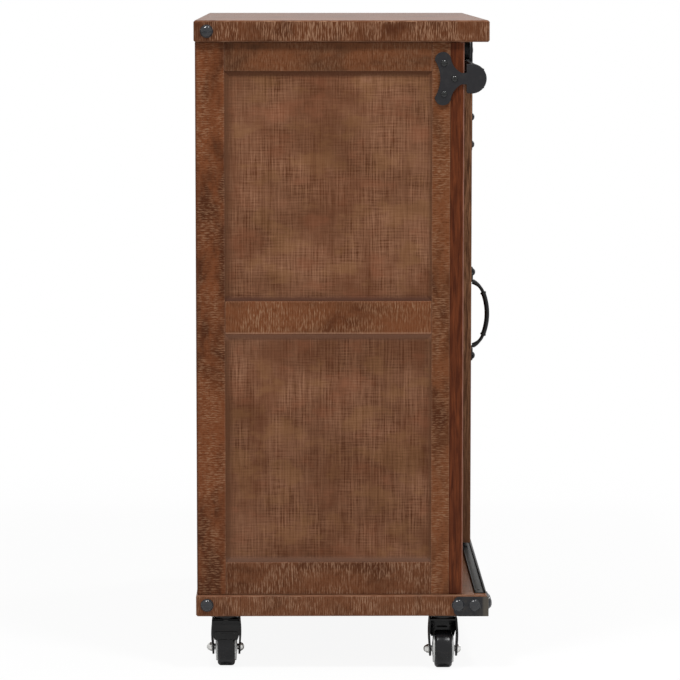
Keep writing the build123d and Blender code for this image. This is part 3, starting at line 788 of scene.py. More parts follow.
class Bench:
    """Modelling tools: each is a short run of operators on one piece."""

    TURNS = {Lie.ACROSS: (0, math.pi / 2, 0), Lie.DEEP: (math.pi / 2, 0, 0), Lie.UPRIGHT: (0, 0, 0)}
    DOUBLE_REACH = 0.000001
    FLAT_ANGLE = math.radians(0.5)
    SMOOTH_ANGLE = math.radians(35.0)

    @staticmethod
    def take(*pieces: bpy.types.Object) -> None:
        """Selects some pieces and nothing else, and makes the first one active."""
        bpy.ops.object.select_all(action="DESELECT")
        for piece in pieces:
            piece.select_set(True)
        bpy.context.view_layer.objects.active = pieces[0]

    @staticmethod
    def begin(name: str) -> bpy.types.Object:
        """Names the primitive that was just added and fixes its size, turn and place in its mesh."""
        piece = bpy.context.active_object
        piece.name = piece.data.name = name
        Bench.take(piece)
        bpy.ops.object.transform_apply(location=True, rotation=True, scale=True)
        return piece

    @staticmethod
    def cylinder(
        name: str, centre: Vector, axis: Lie, radius: float, depth: float, sides: int = 48
    ) -> bpy.types.Object:
        """Adds a cylinder.

        Args:
            name: the piece's name.
            centre: its middle.
            axis: the axis that it runs along.
            radius: its radius.
            depth: its length.
            sides: how many flat sides it has.

        Returns:
            The new piece.
        """
        bpy.ops.object.select_all(action="DESELECT")
        bpy.ops.mesh.primitive_cylinder_add(
            vertices=sides, radius=radius, depth=depth, location=centre, rotation=Bench.TURNS[axis]
        )
        return Bench.begin(name)

    @staticmethod
    def block(name: str, low: Sequence[float], high: Sequence[float]) -> bpy.types.Object:
        """Adds a block between two corners."""
        low, high = Vector(low), Vector(high)
        bpy.ops.object.select_all(action="DESELECT")
        bpy.ops.mesh.primitive_cube_add(size=1, location=(low + high) / 2, scale=high - low)
        return Bench.begin(name)

    @staticmethod
    def dome(
        name: str, seat: Vector, outward: Vector, radius: float, height: float, sides: int = 32
    ) -> bpy.types.Object:
        """Adds a ball and cuts it down to a dome on a flat seat.

        Args:
            name: the piece's name.
            seat: the middle of the flat side.
            outward: the direction of the dome's top.
            radius: the radius of the flat side.
            height: how high the dome stands.
            sides: how many sides the ball has.

        Returns:
            The new piece.
        """
        turn = outward.to_track_quat("Z", "Y").to_euler()
        scale = (radius, radius, height)
        bpy.ops.object.select_all(action="DESELECT")
        bpy.ops.mesh.primitive_uv_sphere_add(
            segments=sides, ring_count=sides // 2, radius=1, location=seat, rotation=turn, scale=scale
        )
        piece = Bench.begin(name)
        with Bench.editing(piece):
            bpy.ops.mesh.bisect(plane_co=seat, plane_no=-outward, clear_outer=True, use_fill=True)
        return piece

    @staticmethod
    @contextmanager
    def editing(piece: bpy.types.Object) -> Iterator[None]:
        """Opens a piece in edit mode with all of it selected, then closes it."""
        Bench.take(piece)
        bpy.ops.object.mode_set(mode="EDIT")
        bpy.ops.mesh.select_all(action="SELECT")
        yield
        bpy.ops.object.mode_set(mode="OBJECT")

    @staticmethod
    def clear(piece: bpy.types.Object, kind: str) -> None:
        """Sets what edit mode picks, points or faces, and leaves none of a piece selected."""
        Bench.take(piece)
        bpy.ops.object.mode_set(mode="EDIT")
        bpy.ops.mesh.select_mode(type=kind)
        bpy.ops.mesh.select_all(action="DESELECT")
        bpy.ops.object.mode_set(mode="OBJECT")

    @staticmethod
    @contextmanager
    def faces(piece: bpy.types.Object, test: Callable[[Vector, Vector], bool]) -> Iterator[None]:
        """Opens a piece with the faces selected whose centre and normal pass a test, then closes it."""
        Bench.clear(piece, "FACE")
        for face in piece.data.polygons:
            face.select = test(face.center, face.normal)
        bpy.ops.object.mode_set(mode="EDIT")
        yield
        bpy.ops.object.mode_set(mode="OBJECT")

    @staticmethod
    @contextmanager
    def points(piece: bpy.types.Object, test: Callable[[Vector], bool]) -> Iterator[None]:
        """Opens a piece with the points selected whose place passes a test, then closes it."""
        Bench.clear(piece, "VERT")
        for point in piece.data.vertices:
            point.select = test(point.co)
        bpy.ops.object.mode_set(mode="EDIT")
        yield
        bpy.ops.object.mode_set(mode="OBJECT")

    @staticmethod
    def apply(piece: bpy.types.Object, kind: str, **settings: Any) -> None:
        """Adds a modifier with some settings to a piece and applies it."""
        Bench.take(piece)
        modifier = piece.modifiers.new(kind.lower(), kind)
        for name, value in settings.items():
            setattr(modifier, name, value)
        bpy.ops.object.modifier_apply(modifier=modifier.name)

    @staticmethod
    def round_edges(piece: bpy.types.Object, width: float, segments: int = 2, angle: float = 40.0) -> None:
        """Rounds the edges of a piece that are sharper than an angle in degrees."""
        limit = {"limit_method": "ANGLE", "angle_limit": math.radians(angle)}
        Bench.apply(piece, "BEVEL", width=width, segments=segments, **limit)

    @staticmethod
    def cut(piece: bpy.types.Object, cutter: bpy.types.Object) -> None:
        """Cuts one piece out of another and throws the cutter away."""
        Bench.apply(piece, "BOOLEAN", operation="DIFFERENCE", object=cutter, solver="EXACT")
        bpy.data.objects.remove(cutter)

    @staticmethod
    def hull(piece: bpy.types.Object) -> None:
        """Draws a tight skin round all of a piece's points."""
        with Bench.editing(piece):
            bpy.ops.mesh.convex_hull()
            bpy.ops.mesh.dissolve_limited(angle_limit=Bench.FLAT_ANGLE)

    @staticmethod
    def join(name: str, parts: Sequence[bpy.types.Object]) -> bpy.types.Object:
        """Joins parts into one piece.

        Args:
            name: the joined piece's name.
            parts: the parts, of which the first stays.

        Returns:
            The joined piece.
        """
        Bench.take(*parts)
        if len(parts) > 1:
            bpy.ops.object.join()
        piece = bpy.context.active_object
        piece.name = piece.data.name = name
        return piece

    @staticmethod
    def copy(piece: bpy.types.Object, name: str, place: Matrix) -> bpy.types.Object:
        """Copies a piece with a mesh of its own and puts the copy in another place.

        Args:
            piece: what is copied.
            name: the copy's name.
            place: the move from the piece's place to the copy's.

        Returns:
            The copy.
        """
        Bench.take(piece)
        bpy.ops.object.duplicate()
        bpy.context.active_object.matrix_world = place
        return Bench.begin(name)

    @staticmethod
    def settle(piece: bpy.types.Object) -> None:
        """Merges doubles, turns all faces outwards and shades the piece smooth except at sharp edges."""
        with Bench.editing(piece):
            bpy.ops.mesh.remove_doubles(threshold=Bench.DOUBLE_REACH)
            bpy.ops.mesh.normals_make_consistent(inside=False)
        bpy.ops.object.shade_smooth_by_angle(angle=Bench.SMOOTH_ANGLE)


def paint_nodes(material: bpy.types.Material, *nodes: str) -> None:
    """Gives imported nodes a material."""
    for node in nodes:
        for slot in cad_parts[node].material_slots:
            slot.material = material
    log.info("%s dressed: %s", material.name, ", ".join(nodes))


def hand_over(
    piece: bpy.types.Object, material: bpy.types.Material, body: str, nodes: Sequence[str] = ()
) -> None:
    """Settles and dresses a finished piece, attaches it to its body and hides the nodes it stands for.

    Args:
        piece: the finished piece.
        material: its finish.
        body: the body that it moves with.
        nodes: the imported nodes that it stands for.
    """
    Bench.settle(piece)
    piece.data.materials.clear()
    piece.data.materials.append(material)
    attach(piece, body)
    if nodes:
        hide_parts(*nodes)
    log.info("%s: %d faces, moves with %s", piece.name, len(piece.data.polygons), body)


def islands(node: str, places: int = 6) -> list[Box]:
    """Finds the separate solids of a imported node.

    Args:
        node: the node's name.
        places: the decimals to which points are told apart.

    Returns:
        The box of each solid, in a fixed order.
    """
    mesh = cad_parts[node].data
    leader: dict[tuple, tuple] = {}

    def find(key: tuple) -> tuple:
        """The key that stands for a point's solid."""
        while leader[key] != key:
            leader[key] = leader[leader[key]]
            key = leader[key]
        return key

    keys = [tuple(round(value, places) for value in point.co) for point in mesh.vertices]
    for key in keys:
        leader.setdefault(key, key)
    for face in mesh.polygons:
        first, *rest = [keys[index] for index in face.vertices]
        for key in rest:
            leader[find(key)] = find(first)
    groups: dict[tuple, list[tuple]] = {}
    for key in leader:
        groups.setdefault(find(key), []).append(key)
    boxes = []
    for points in groups.values():
        low = Vector([min(point[axis] for point in points) for axis in range(3)])
        high = Vector([max(point[axis] for point in points) for axis in range(3)])
        boxes.append((low, high))
    return sorted(boxes, key=lambda box: tuple(round(value, places - 1) for value in (*box[0], *box[1])))


def middle(box: Box) -> Vector:
    """The middle of a box."""
    return (box[0] + box[1]) / 2


@dataclass
class Fasteners:
    """Heads and nuts of one kind, modelled once at the origin and copied to each place where a node has one.

    Each end is the box's end (-1 low, 1 high, 0 whichever is further out), the height there, and its maker.
    """

    node: str
    body: str
    slot: str
    ends: Sequence[tuple[int, float, Callable[[], bpy.types.Object]]]
    axis: Optional[Lie] = None

    def build(self, material: bpy.types.Material, extra: Sequence[bpy.types.Object] = ()) -> None:
        """Models, copies and hands over the fasteners.

        Args:
            material: their finish.
            extra: parts that belong to the same piece.
        """
        parts = list(extra)
        for end, height, maker in self.ends:
            master = maker()
            for count, box in enumerate(islands(self.node)):
                name = f"{self.node}_{end + 1}_{count}"
                parts.append(Bench.copy(master, name, self.place(box, end, height)))
            bpy.data.objects.remove(master)
        piece = Bench.join(f"dressed_{self.node}", parts)
        hand_over(piece, material, self.body, [self.node])

    def place(self, box: Box, end: int, height: float) -> Matrix:
        """Finds where a head that was modelled at the origin, pointing up, goes on one fastener.

        Args:
            box: the fastener's box.
            end: the end of the box.
            height: how high the head stands there.

        Returns:
            The move from the origin.
        """
        size = box[1] - box[0]
        axis = self.axis.value if self.axis else max(range(3), key=lambda index: size[index])
        seat = middle(box)
        sign = end or int(math.copysign(1, seat[axis]))
        outward = Vector((0, 0, 0))
        outward[axis] = sign
        seat[axis] = box[1 if sign > 0 else 0][axis] - sign * height
        return Matrix.Translation(seat) @ outward.to_track_quat("Z", "Y").to_matrix().to_4x4()


@dataclass
class Carcass:
    """The boards, side frames, panels, shelves and back of the cabinet's box."""

    hands: Sequence[str] = ("left", "right")
    sawn: SawnFir = SawnFir()
    # the rear stiles get painted shade along their back edge
    rear_sawn: SawnFir = SawnFir(
        brown=(0.062, 0.0181, 0.0058), red=(0.151, 0.0460, 0.0159), rear_edge_shade_share=0.6,
    )
    front_sawn: SawnFir = SawnFir(brown=(0.098, 0.0335, 0.0125), red=(0.155, 0.0515, 0.0190))
    edge_sawn: SawnFir = SawnFir(
        name="edge_sawn_fir", mark_pitch=0.0013, mark_run=0.0095, mark_share=1.20, arris_share=0.28,
        brown=(0.076, 0.0252, 0.0093), red=(0.112, 0.0380, 0.0150), tan=(0.252, 0.136, 0.080),
    )
    base_sawn: SawnFir = SawnFir(
        name="base_sawn_fir", mark_pitch=0.0013, mark_run=0.0095, mark_share=1.00, arris_share=0.28,
        brown=(0.098, 0.0355, 0.0143), red=(0.134, 0.0485, 0.0200), tan=(0.258, 0.141, 0.084),
        lying_share=0.70,
    )
    # the middle rails get a painted highlight along their lower arris
    middle_sawn: SawnFir = SawnFir(
        name="middle_sawn_fir", mark_pitch=0.0015, mark_run=0.0075, mark_share=1.00,
        dark=(0.078, 0.0235, 0.0080), brown=(0.112, 0.039, 0.015), foot_highlight_share=0.50,
    )
    # darker copy for the top rails: painted shade under the top board's overhang
    calm_sawn: SawnFir = SawnFir(
        name="calm_sawn_fir", mark_share=0.50,
        brown=(0.076, 0.030, 0.013), red=(0.132, 0.046, 0.018), tan=(0.205, 0.108, 0.060),
    )
    # darker copy for the bottom rails: painted shade, darker low down
    low_sawn: SawnFir = SawnFir(
        name="low_sawn_fir", mark_pitch=0.0015, mark_run=0.0075, mark_share=1.10,
        red=(0.128, 0.045, 0.018), tan=(0.232, 0.125, 0.074),
    )
    panel: CrossSawnPanel = CrossSawnPanel()
    # darker copy of the panel for the lower panels as painted shade, with a lighter top border as painted
    # light against the middle rail's cast shadow
    low_panel: CrossSawnPanel = CrossSawnPanel(
        dark=(0.078, 0.0250, 0.0099), light=(0.267, 0.130, 0.0745), top_shade=0.85,
        top_border_shading=(0.168, 0.080, 0.050), bottom_border_shade=(0.112, 0.056, 0.036),
    )
    back: PressedBoard = PressedBoard()

    def dress(self) -> None:
        """Gives each board and panel its own run of its finish."""
        runs = {
            "centre_divider": (self.sawn, Lie.UPRIGHT),
            "left_shelf": (self.sawn, Lie.ACROSS),
            "right_shelf": (self.sawn, Lie.ACROSS),
            "top_board": (self.edge_sawn, Lie.ACROSS),
            "base_board": (self.base_sawn, Lie.ACROSS),
        }
        side = {
            "rear_stile": (self.rear_sawn, Lie.UPRIGHT),
            "front_stile": (self.front_sawn, Lie.UPRIGHT),
            "top_rail": (self.calm_sawn, Lie.DEEP),
            "middle_rail": (self.middle_sawn, Lie.DEEP),
            "bottom_rail": (self.low_sawn, Lie.DEEP),
        }
        for hand in self.hands:
            runs.update({f"{hand}_{board}": run for board, run in side.items()})
            for panel, finish in (("upper_panel", self.panel), ("lower_panel", self.low_panel)):
                node = f"{hand}_{panel}"
                paint_nodes(finish.material(node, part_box(node)), node)
        for node, (finish, lie) in runs.items():
            paint_nodes(finish.material(node, lie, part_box(node)), node)
        paint_nodes(self.back.material(), "back_panel")


@dataclass
class FaceFrame:
    """The planed posts and rail round the front."""

    boards: Sequence[tuple[str, Lie]] = (
        ("left_face_post", Lie.UPRIGHT),
        ("right_face_post", Lie.UPRIGHT),
        ("face_top_rail", Lie.ACROSS),
    )
    fir: SmoothFir = SmoothFir()

    def dress(self) -> None:
        """Gives each board its own run of the finish."""
        for node, lie in self.boards:
            paint_nodes(self.fir.material(node, lie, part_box(node)), node)


@dataclass
class SlidingDoor:
    """The framed door that hangs in front of the cabinet."""

    stiles: Sequence[str] = ("door_left_stile", "door_right_stile")
    rails: Sequence[str] = ("door_top_rail", "door_middle_rail", "door_bottom_rail")
    panels: Sequence[str] = ("door_upper_panel", "door_lower_panel")
    fir: SawnFir = SawnFir(name="door_fir", mark_share=0.40, plain_axis=Lie.ACROSS)
    panel: CrossSawnPanel = CrossSawnPanel(name="door_panel")

    def dress(self) -> None:
        """Gives each board and panel its own run of the finish."""
        for node in (*self.stiles, *self.rails):
            lie = Lie.ACROSS if node in self.rails else Lie.UPRIGHT
            paint_nodes(self.fir.material(node, lie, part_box(node)), node)
        for node in self.panels:
            paint_nodes(self.panel.material(node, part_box(node)), node)


@dataclass
class HangingGear:
    """End brackets, rail, straps, rollers and the screws and bolts that hold them."""

    screw_radius: float = 0.0042
    screw_height: float = 0.0020
    slot_width: float = 0.0009
    slot_reach: float = 0.0023
    slot_depth: float = 0.0010
    bolt_radius: float = 0.0052
    bolt_height: float = 0.0034
    flange_share: float = 0.2
    flange_easing: float = 0.06
    crown_share: float = 0.94
    nut_radius: float = 0.0050
    nut_height: float = 0.0030
    nut_easing: float = 0.15
    charcoal: DarkMetal = DarkMetal(name="charcoal_iron")
    screw_metal: DarkMetal = DarkMetal(
        name="black_screw", base=(0.003, 0.003, 0.003), wear_and_highlight=(0.008, 0.008, 0.008), roughness=0.13,
        specular=0.5,
    )
    nylon: Moulded = Moulded("black_nylon_roller", (0.008, 0.008, 0.009), (0.030, 0.030, 0.030), 0.40)

    def screw_head(self) -> bpy.types.Object:
        """Models one pan head with a cross slot."""
        head = Bench.dome("screw_head", ORIGIN, UP, self.screw_radius, self.screw_height)
        for reach in ((self.slot_reach, self.slot_width / 2), (self.slot_width / 2, self.slot_reach)):
            low = (-reach[0], -reach[1], self.screw_height - self.slot_depth)
            high = (reach[0], reach[1], self.screw_height + self.slot_depth)
            Bench.cut(head, Bench.block("slot_cutter", low, high))
        return head

    def bolt_head(self) -> bpy.types.Object:
        """Models one domed bolt head on a thin flange."""
        thickness = self.bolt_height * self.flange_share
        flange = Bench.cylinder("flange", UP * thickness / 2, Lie.UPRIGHT, self.bolt_radius, thickness)
        Bench.round_edges(flange, self.bolt_height * self.flange_easing)
        crown = Bench.dome("crown", ORIGIN, UP, self.bolt_radius * self.crown_share, self.bolt_height)
        return Bench.join("bolt_head", [flange, crown])

    def bolt_nut(self) -> bpy.types.Object:
        """Models one hexagon nut with eased edges."""
        centre = UP * self.nut_height / 2
        nut = Bench.cylinder("nut", centre, Lie.UPRIGHT, self.nut_radius, self.nut_height, 6)
        Bench.round_edges(nut, self.nut_height * self.nut_easing)
        return nut

    def build(self) -> None:
        """Models the screws and bolts and dresses the rest."""
        iron = self.charcoal.material()
        paint_nodes(iron, "left_rail_bracket", "right_rail_bracket", "door_rail", "hanger_straps")
        black = self.screw_metal.material()
        heads = ((0, self.screw_height, self.screw_head),)
        Fasteners("bracket_screws", "cabinet", "black_steel", heads, Lie.ACROSS).build(black)
        ends = ((-1, self.bolt_height, self.bolt_head), (1, self.nut_height, self.bolt_nut))
        Fasteners("door_bolts", "door", "black_steel", ends, Lie.DEEP).build(iron)
        paint_nodes(black, "roller_pins")
        paint_nodes(self.nylon.material(), "left_roller", "right_roller", "guide_pins")


@dataclass
class DoorPull:
    """The cast bow handle on its two leaf feet."""

    foot_length: float = 0.022
    foot_thickness: float = 0.0034
    foot_taper: float = 0.62
    foot_taper_start: float = 0.3
    foot_easing: float = 0.35
    foot_sides: int = 40
    grip_bend: float = 0.084
    grip_turn: float = math.radians(22.0)
    neck_bend: float = 0.0255
    neck_turn: float = math.radians(47.0)
    grip_radius: float = 0.0034
    collar_radius: float = 0.0042
    collar_start: float = 0.90
    neck_radius: float = 0.0024
    root_radius: float = 0.0036
    root_start: float = 1.25
    root_run: float = 0.2
    grip_steps: int = 48
    neck_steps: int = 24
    sides: int = 20
    ring_thickness: float = 0.0002
    ring_reach: float = 0.005
    iron: DarkMetal = DarkMetal(
        name="cast_iron", base=(0.0065, 0.0060, 0.0060), roughness=0.36, beaten_pitch=0.0030,
        beaten_share=0.35,
    )

    def radius_at(self, rise: float) -> float:
        """The bow's radius at a height from its middle.

        Args:
            rise: the height above or below the middle, as a share of the grip's half length.

        Returns:
            The radius.
        """
        if rise < self.collar_start:
            return self.grip_radius
        if rise < 1.0:
            return self.collar_radius
        flare = max(0.0, rise - self.root_start) / self.root_run
        return self.neck_radius + flare * (self.root_radius - self.neck_radius)

    def bow(self, box: Box) -> bpy.types.Object:
        """Spins a round section through the lower neck, the grip and the upper neck, then swells it.

        Args:
            box: the handle's box.

        Returns:
            The bow.
        """
        centre = middle(box)
        hub = Vector((centre.x, box[0].y + self.grip_radius + self.grip_bend, centre.z))
        reach = self.grip_bend - self.neck_bend
        knees = {side: hub + self.arm(reach, side * self.grip_turn) for side in (-1, 1)}
        whole = self.grip_turn + self.neck_turn
        bpy.ops.object.select_all(action="DESELECT")
        bpy.ops.mesh.primitive_circle_add(
            vertices=self.sides,
            radius=self.neck_radius,
            fill_type="NOTHING",
            location=knees[-1] + self.arm(self.neck_bend, -whole),
            rotation=(whole, 0, 0),
        )
        bow = Bench.begin("bow")
        arcs = (
            (knees[-1], self.neck_bend, -whole, -self.grip_turn, self.neck_steps),
            (hub, self.grip_bend, -self.grip_turn, self.grip_turn, self.grip_steps),
            (knees[1], self.neck_bend, self.grip_turn, whole, self.neck_steps),
        )
        with Bench.editing(bow):
            for pivot, _, start, end, steps in arcs:
                bpy.ops.mesh.spin(steps=steps, angle=end - start, center=pivot, axis=(1, 0, 0))
            bpy.ops.mesh.select_all(action="SELECT")
            bpy.ops.mesh.fill_holes(sides=0)
        grip_half = self.grip_bend * math.sin(self.grip_turn)
        for pivot, bend, start, end, steps in arcs:
            for step in range(1, steps + 1):
                angle = start + (end - start) * step / steps
                ring = pivot + self.arm(bend, angle)
                self.swell(bow, ring, angle, self.radius_at(abs(ring.z - hub.z) / grip_half))
        return bow

    @staticmethod
    def arm(length: float, angle: float) -> Vector:
        """A step out from the door, turned upwards by an angle."""
        return Vector((0, -length * math.cos(angle), length * math.sin(angle)))

    def swell(self, bow: bpy.types.Object, ring: Vector, angle: float, radius: float) -> None:
        """Widens one ring of the bow.

        Args:
            bow: the bow with its neck's radius all along.
            ring: the ring's middle.
            angle: how far its outward direction is turned upwards.
            radius: the wanted radius.
        """
        run = Vector((0, math.sin(angle), math.cos(angle)))

        def in_ring(at: Vector) -> bool:
            """Whether a point lies on the ring."""
            return abs((at - ring).dot(run)) < self.ring_thickness and (at - ring).length < self.ring_reach

        with Bench.points(bow, in_ring):
            bpy.ops.transform.resize(value=(radius / self.neck_radius,) * 3, center_override=ring)

    def foot(self, box: Box, side: int) -> bpy.types.Object:
        """Shapes one leaf foot: a round plate, drawn out and narrowed towards its outer end.

        Args:
            box: the handle's box.
            side: -1 for the lower foot, 1 for the upper one.

        Returns:
            The foot.
        """
        half = self.foot_length / 2
        width = (box[1].x - box[0].x) / 2
        seat = middle(box)
        seat.y = box[1].y - self.foot_thickness / 2
        seat.z += side * ((box[1].z - box[0].z) / 2 - half)
        foot = Bench.cylinder("foot", seat, Lie.DEEP, width, self.foot_thickness, self.foot_sides)
        with Bench.editing(foot):
            bpy.ops.transform.resize(value=(1, 1, half / width), center_override=seat)
        with Bench.points(foot, lambda at: side * (at.z - seat.z) > half * self.foot_taper_start):
            bpy.ops.transform.resize(value=(self.foot_taper, 1, 1), center_override=seat)
        Bench.round_edges(foot, self.foot_thickness * self.foot_easing, 3)
        return foot

    def build(self) -> None:
        """Models, dresses and hands over the handle."""
        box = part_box("door_handle")
        handle = Bench.join("dressed_handle", [self.bow(box), self.foot(box, -1), self.foot(box, 1)])
        hand_over(handle, self.iron.material(), "door", ["door_handle"])


@dataclass
class Ironwork:
    """Corner irons, dome nails, the floor track and the small screws and pins."""

    nail_radius: float = 0.0086
    nail_height: float = 0.0050
    nail_sides: int = 24
    crown_share: float = 0.96
    rim_share: float = 0.2
    rim_easing: float = 0.07
    uneven_from: float = 0.25
    unevenness: float = 0.00025
    uneven_seed: int = 7
    track_wall: float = 0.0015
    track_lip: float = 0.0028
    track_easing: float = 0.2
    # its olive colour is both the mottled wear and the painted highlight along the bend
    iron: BentIron = BentIron(name="corner_iron", wear_and_highlight=(0.072, 0.062, 0.048), wear_share=0.32)
    nail_metal: DarkMetal = DarkMetal(
        name="forged_nail", base=(0.012, 0.013, 0.016), roughness=0.17, specular=0.5, beaten_share=0.35,
    )
    track_metal: DarkMetal = DarkMetal(
        name="track_steel", base=(0.023, 0.023, 0.021), wear_and_highlight=(0.055, 0.053, 0.048),
    )
    # darker copy of the track steel for the lips: painted shade
    shaded_lip_metal: DarkMetal = DarkMetal(
        name="track_lip", base=(0.0045, 0.0045, 0.0045), roughness=0.35, specular=0.15,
    )
    zinc: BrightMetal = BrightMetal(name="small_zinc")

    def nail_head(self) -> bpy.types.Object:
        """Models one domed nail head with an uneven, forged top and a thin rim."""
        sides, radius, height = self.nail_sides, self.nail_radius, self.nail_height
        crown = Bench.dome("nail_crown", ORIGIN, UP, radius * self.crown_share, height, sides)
        with Bench.points(crown, lambda at: at.z > height * self.uneven_from):
            bpy.ops.transform.vertex_random(
                offset=self.unevenness, uniform=1.0, normal=0.0, seed=self.uneven_seed
            )
        thickness = height * self.rim_share
        rim = Bench.cylinder("nail_rim", UP * thickness / 2, Lie.UPRIGHT, radius, thickness, sides)
        Bench.round_edges(rim, height * self.rim_easing)
        return Bench.join("nail_head", [crown, rim])

    def track(self) -> None:
        """Models the floor track: a pale floor between a thin inner lip and a stout outer one, the lips in a
        darker copy of the steel as painted shade.
        """
        low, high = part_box("floor_track")
        wall = self.track_wall
        edge = low.y + wall
        floor = Bench.block(
            "track_floor", (low.x, low.y + wall / 2, low.z), (high.x, high.y - wall / 2, low.z + wall)
        )
        inner = Bench.block("inner_lip", (low.x, high.y - wall, low.z), high)
        outer = Bench.block("outer_lip", (low.x, edge - self.track_lip, low.z), (high.x, edge, high.z))
        for piece in (floor, inner, outer):
            Bench.round_edges(piece, wall * self.track_easing)
        lips = Bench.join("track_lips", [inner, outer])
        # the lips and the track screws take the darker copy, as painted shade
        dark = self.shaded_lip_metal.material()
        hand_over(floor, self.track_metal.material(), "cabinet", ["floor_track"])
        hand_over(lips, dark, "cabinet")
        paint_nodes(dark, "track_screws")

    def build(self) -> None:
        """Models the nails and the track and dresses the rest."""
        paint_nodes(self.iron.material(), "corner_irons")
        self.track()
        ends = ((0, self.nail_height, self.nail_head),)
        Fasteners("dome_nails", "cabinet", "black_steel", ends).build(self.nail_metal.material())
        paint_nodes(self.zinc.material(), "shelf_pins", "castor_screws")


@dataclass
class CastorSet:
    """Four swivel castors: pressed forks, black treads, pale hubs and domed axle ends."""

    corners: Sequence[str] = ("front_left", "front_right", "rear_left", "rear_right")
    wheel_radius: float = 0.025
    wheel_width: float = 0.023
    wheel_sides: int = 72
    shoulder: float = 0.0045
    shoulder_steps: int = 5
    shoulder_angle: float = 50.0
    side_share: float = 0.99
    rim: float = 0.0012
    dish_slope: float = 0.0006
    dish_depth: float = 0.0010
    disc_radius: float = 0.0182
    disc_width: float = 0.0270
    disc_easing: float = 0.0007
    disc_sides: int = 56
    hub_radius: float = 0.0098
    hub_width: float = 0.0286
    hub_easing: float = 0.0008
    trail: float = 0.008
    crown_low: float = 0.0639
    crown_top: float = 0.0665
    crown_radius: float = 0.0175
    crown_easing: float = 0.2
    crown_sides: int = 56
    bridge_easing: float = 0.3
    leg_top_half: float = 0.0172
    leg_radius: float = 0.010
    leg_easing: float = 0.25
    half_gap: float = 0.016
    sheet: float = 0.0026
    wall_drop: float = 0.026
    crease_drop: float = 0.015
    wall_taper: float = 0.82
    wall_slope: float = 0.0040
    wall_easing: float = 0.2
    wall_angle: float = 15.0
    bead: float = 0.0016
    bead_easing: float = 0.6
    bead_sides: int = 24
    bulge: float = 0.0013
    bands: int = 6
    axle_radius: float = 0.004
    axle_easing: float = 0.0002
    axle_sides: int = 32
    head_radius: float = 0.0062
    head_height: float = 0.005
    head_washer: float = 0.0012
    head_seat: float = 0.0010
    head_share: float = 0.86
    nut_height: float = 0.0075
    nut_washer: float = 0.0010
    washer_easing: float = 0.0003
    washer_sides: int = 40
    hexagon_middle: float = 0.0022
    hexagon_height: float = 0.0026
    hexagon_share: float = 0.95
    hexagon_easing: float = 0.0004
    cap_seat: float = 0.0030
    cap_share: float = 0.78
    cap_sides: int = 28
    tread: Moulded = Moulded(
        "gloss_black_tread", (0.0070, 0.0070, 0.0080), (0.014, 0.014, 0.014), 0.13, specular=0.25,
    )
    hub: Moulded = Moulded("pale_hub", (0.56, 0.57, 0.56), (0.36, 0.36, 0.35), 0.34)
    fork_metal: DarkMetal = DarkMetal(
        name="black_fork", base=(0.0035, 0.0033, 0.0033), wear_and_highlight=(0.008, 0.008, 0.008), roughness=0.15,
        specular=0.24,
    )
    zinc: BrightMetal = BrightMetal(name="axle_zinc")

    def wheel_master(self) -> bpy.types.Object:
        """Models one tread at the origin, with round shoulders and dished sides."""
        tread = Bench.cylinder(
            "tread", ORIGIN, Lie.DEEP, self.wheel_radius, self.wheel_width, self.wheel_sides
        )
        Bench.round_edges(tread, self.shoulder, self.shoulder_steps, self.shoulder_angle)
        side = self.wheel_width / 2 * self.side_share
        with Bench.faces(tread, lambda at, normal: abs(normal.y) > self.side_share and abs(at.y) > side):
            bpy.ops.mesh.inset(thickness=self.rim, depth=0.0)
            bpy.ops.mesh.inset(thickness=self.dish_slope, depth=-self.dish_depth)
        return tread

    def hub_master(self) -> bpy.types.Object:
        """Models one hub at the origin: a cover disc and a boss."""
        disc = Bench.cylinder("disc", ORIGIN, Lie.DEEP, self.disc_radius, self.disc_width, self.disc_sides)
        Bench.round_edges(disc, self.disc_easing)
        boss = Bench.cylinder("boss", ORIGIN, Lie.DEEP, self.hub_radius, self.hub_width)
        Bench.round_edges(boss, self.hub_easing)
        return Bench.join("hub", [disc, boss])

    def fork_master(self) -> bpy.types.Object:
        """Models one fork with its swivel at the origin and its wheel towards +X."""
        half, sheet = self.leg_top_half, self.sheet
        outer = self.half_gap + sheet
        parts = []
        for side in (-1, 1):
            across = side * (self.half_gap + sheet / 2)
            centre = Vector((self.trail, across, self.wheel_radius))
            eye = Bench.cylinder("eye", centre, Lie.DEEP, self.leg_radius, sheet)
            low = (-half, across - sheet / 2, self.crown_low)
            high = (half, across + sheet / 2, self.crown_top)
            leg = Bench.join("leg", [eye, Bench.block("shoulder", low, high)])
            Bench.hull(leg)
            Bench.round_edges(leg, sheet * self.leg_easing)
            self.swell(leg, side)
            parts.append(leg)
        level = UP * (self.crown_low + self.crown_top) / 2
        crown = Bench.cylinder("crown", level, Lie.UPRIGHT, self.crown_radius, sheet, self.crown_sides)
        Bench.round_edges(crown, sheet * self.crown_easing)
        bridge = Bench.block("bridge", (-half, -outer, self.crown_low), (half, outer, self.crown_top))
        Bench.round_edges(bridge, sheet * self.bridge_easing)
        return Bench.join("fork", parts + [crown, bridge, *self.wall(outer)])

    def swell(self, leg: bpy.types.Object, side: int) -> None:
        """Cuts a leg into bands and pushes the middle ones outwards, as a pressed leg swells.

        Args:
            leg: the flat leg.
            side: the side of the wheel that it stands on.
        """
        band = (self.crown_low - self.wheel_radius) / self.bands
        levels = [self.wheel_radius + band * step for step in range(1, self.bands)]
        for level in levels:
            with Bench.editing(leg):
                bpy.ops.mesh.bisect(plane_co=UP * level, plane_no=UP)
        for step, level in enumerate(levels, 1):
            push = self.bulge * math.sin(math.pi * step / self.bands)
            with Bench.points(leg, lambda at: abs(at.z - level) < band / 3):
                bpy.ops.transform.translate(value=(0, side * push, 0))

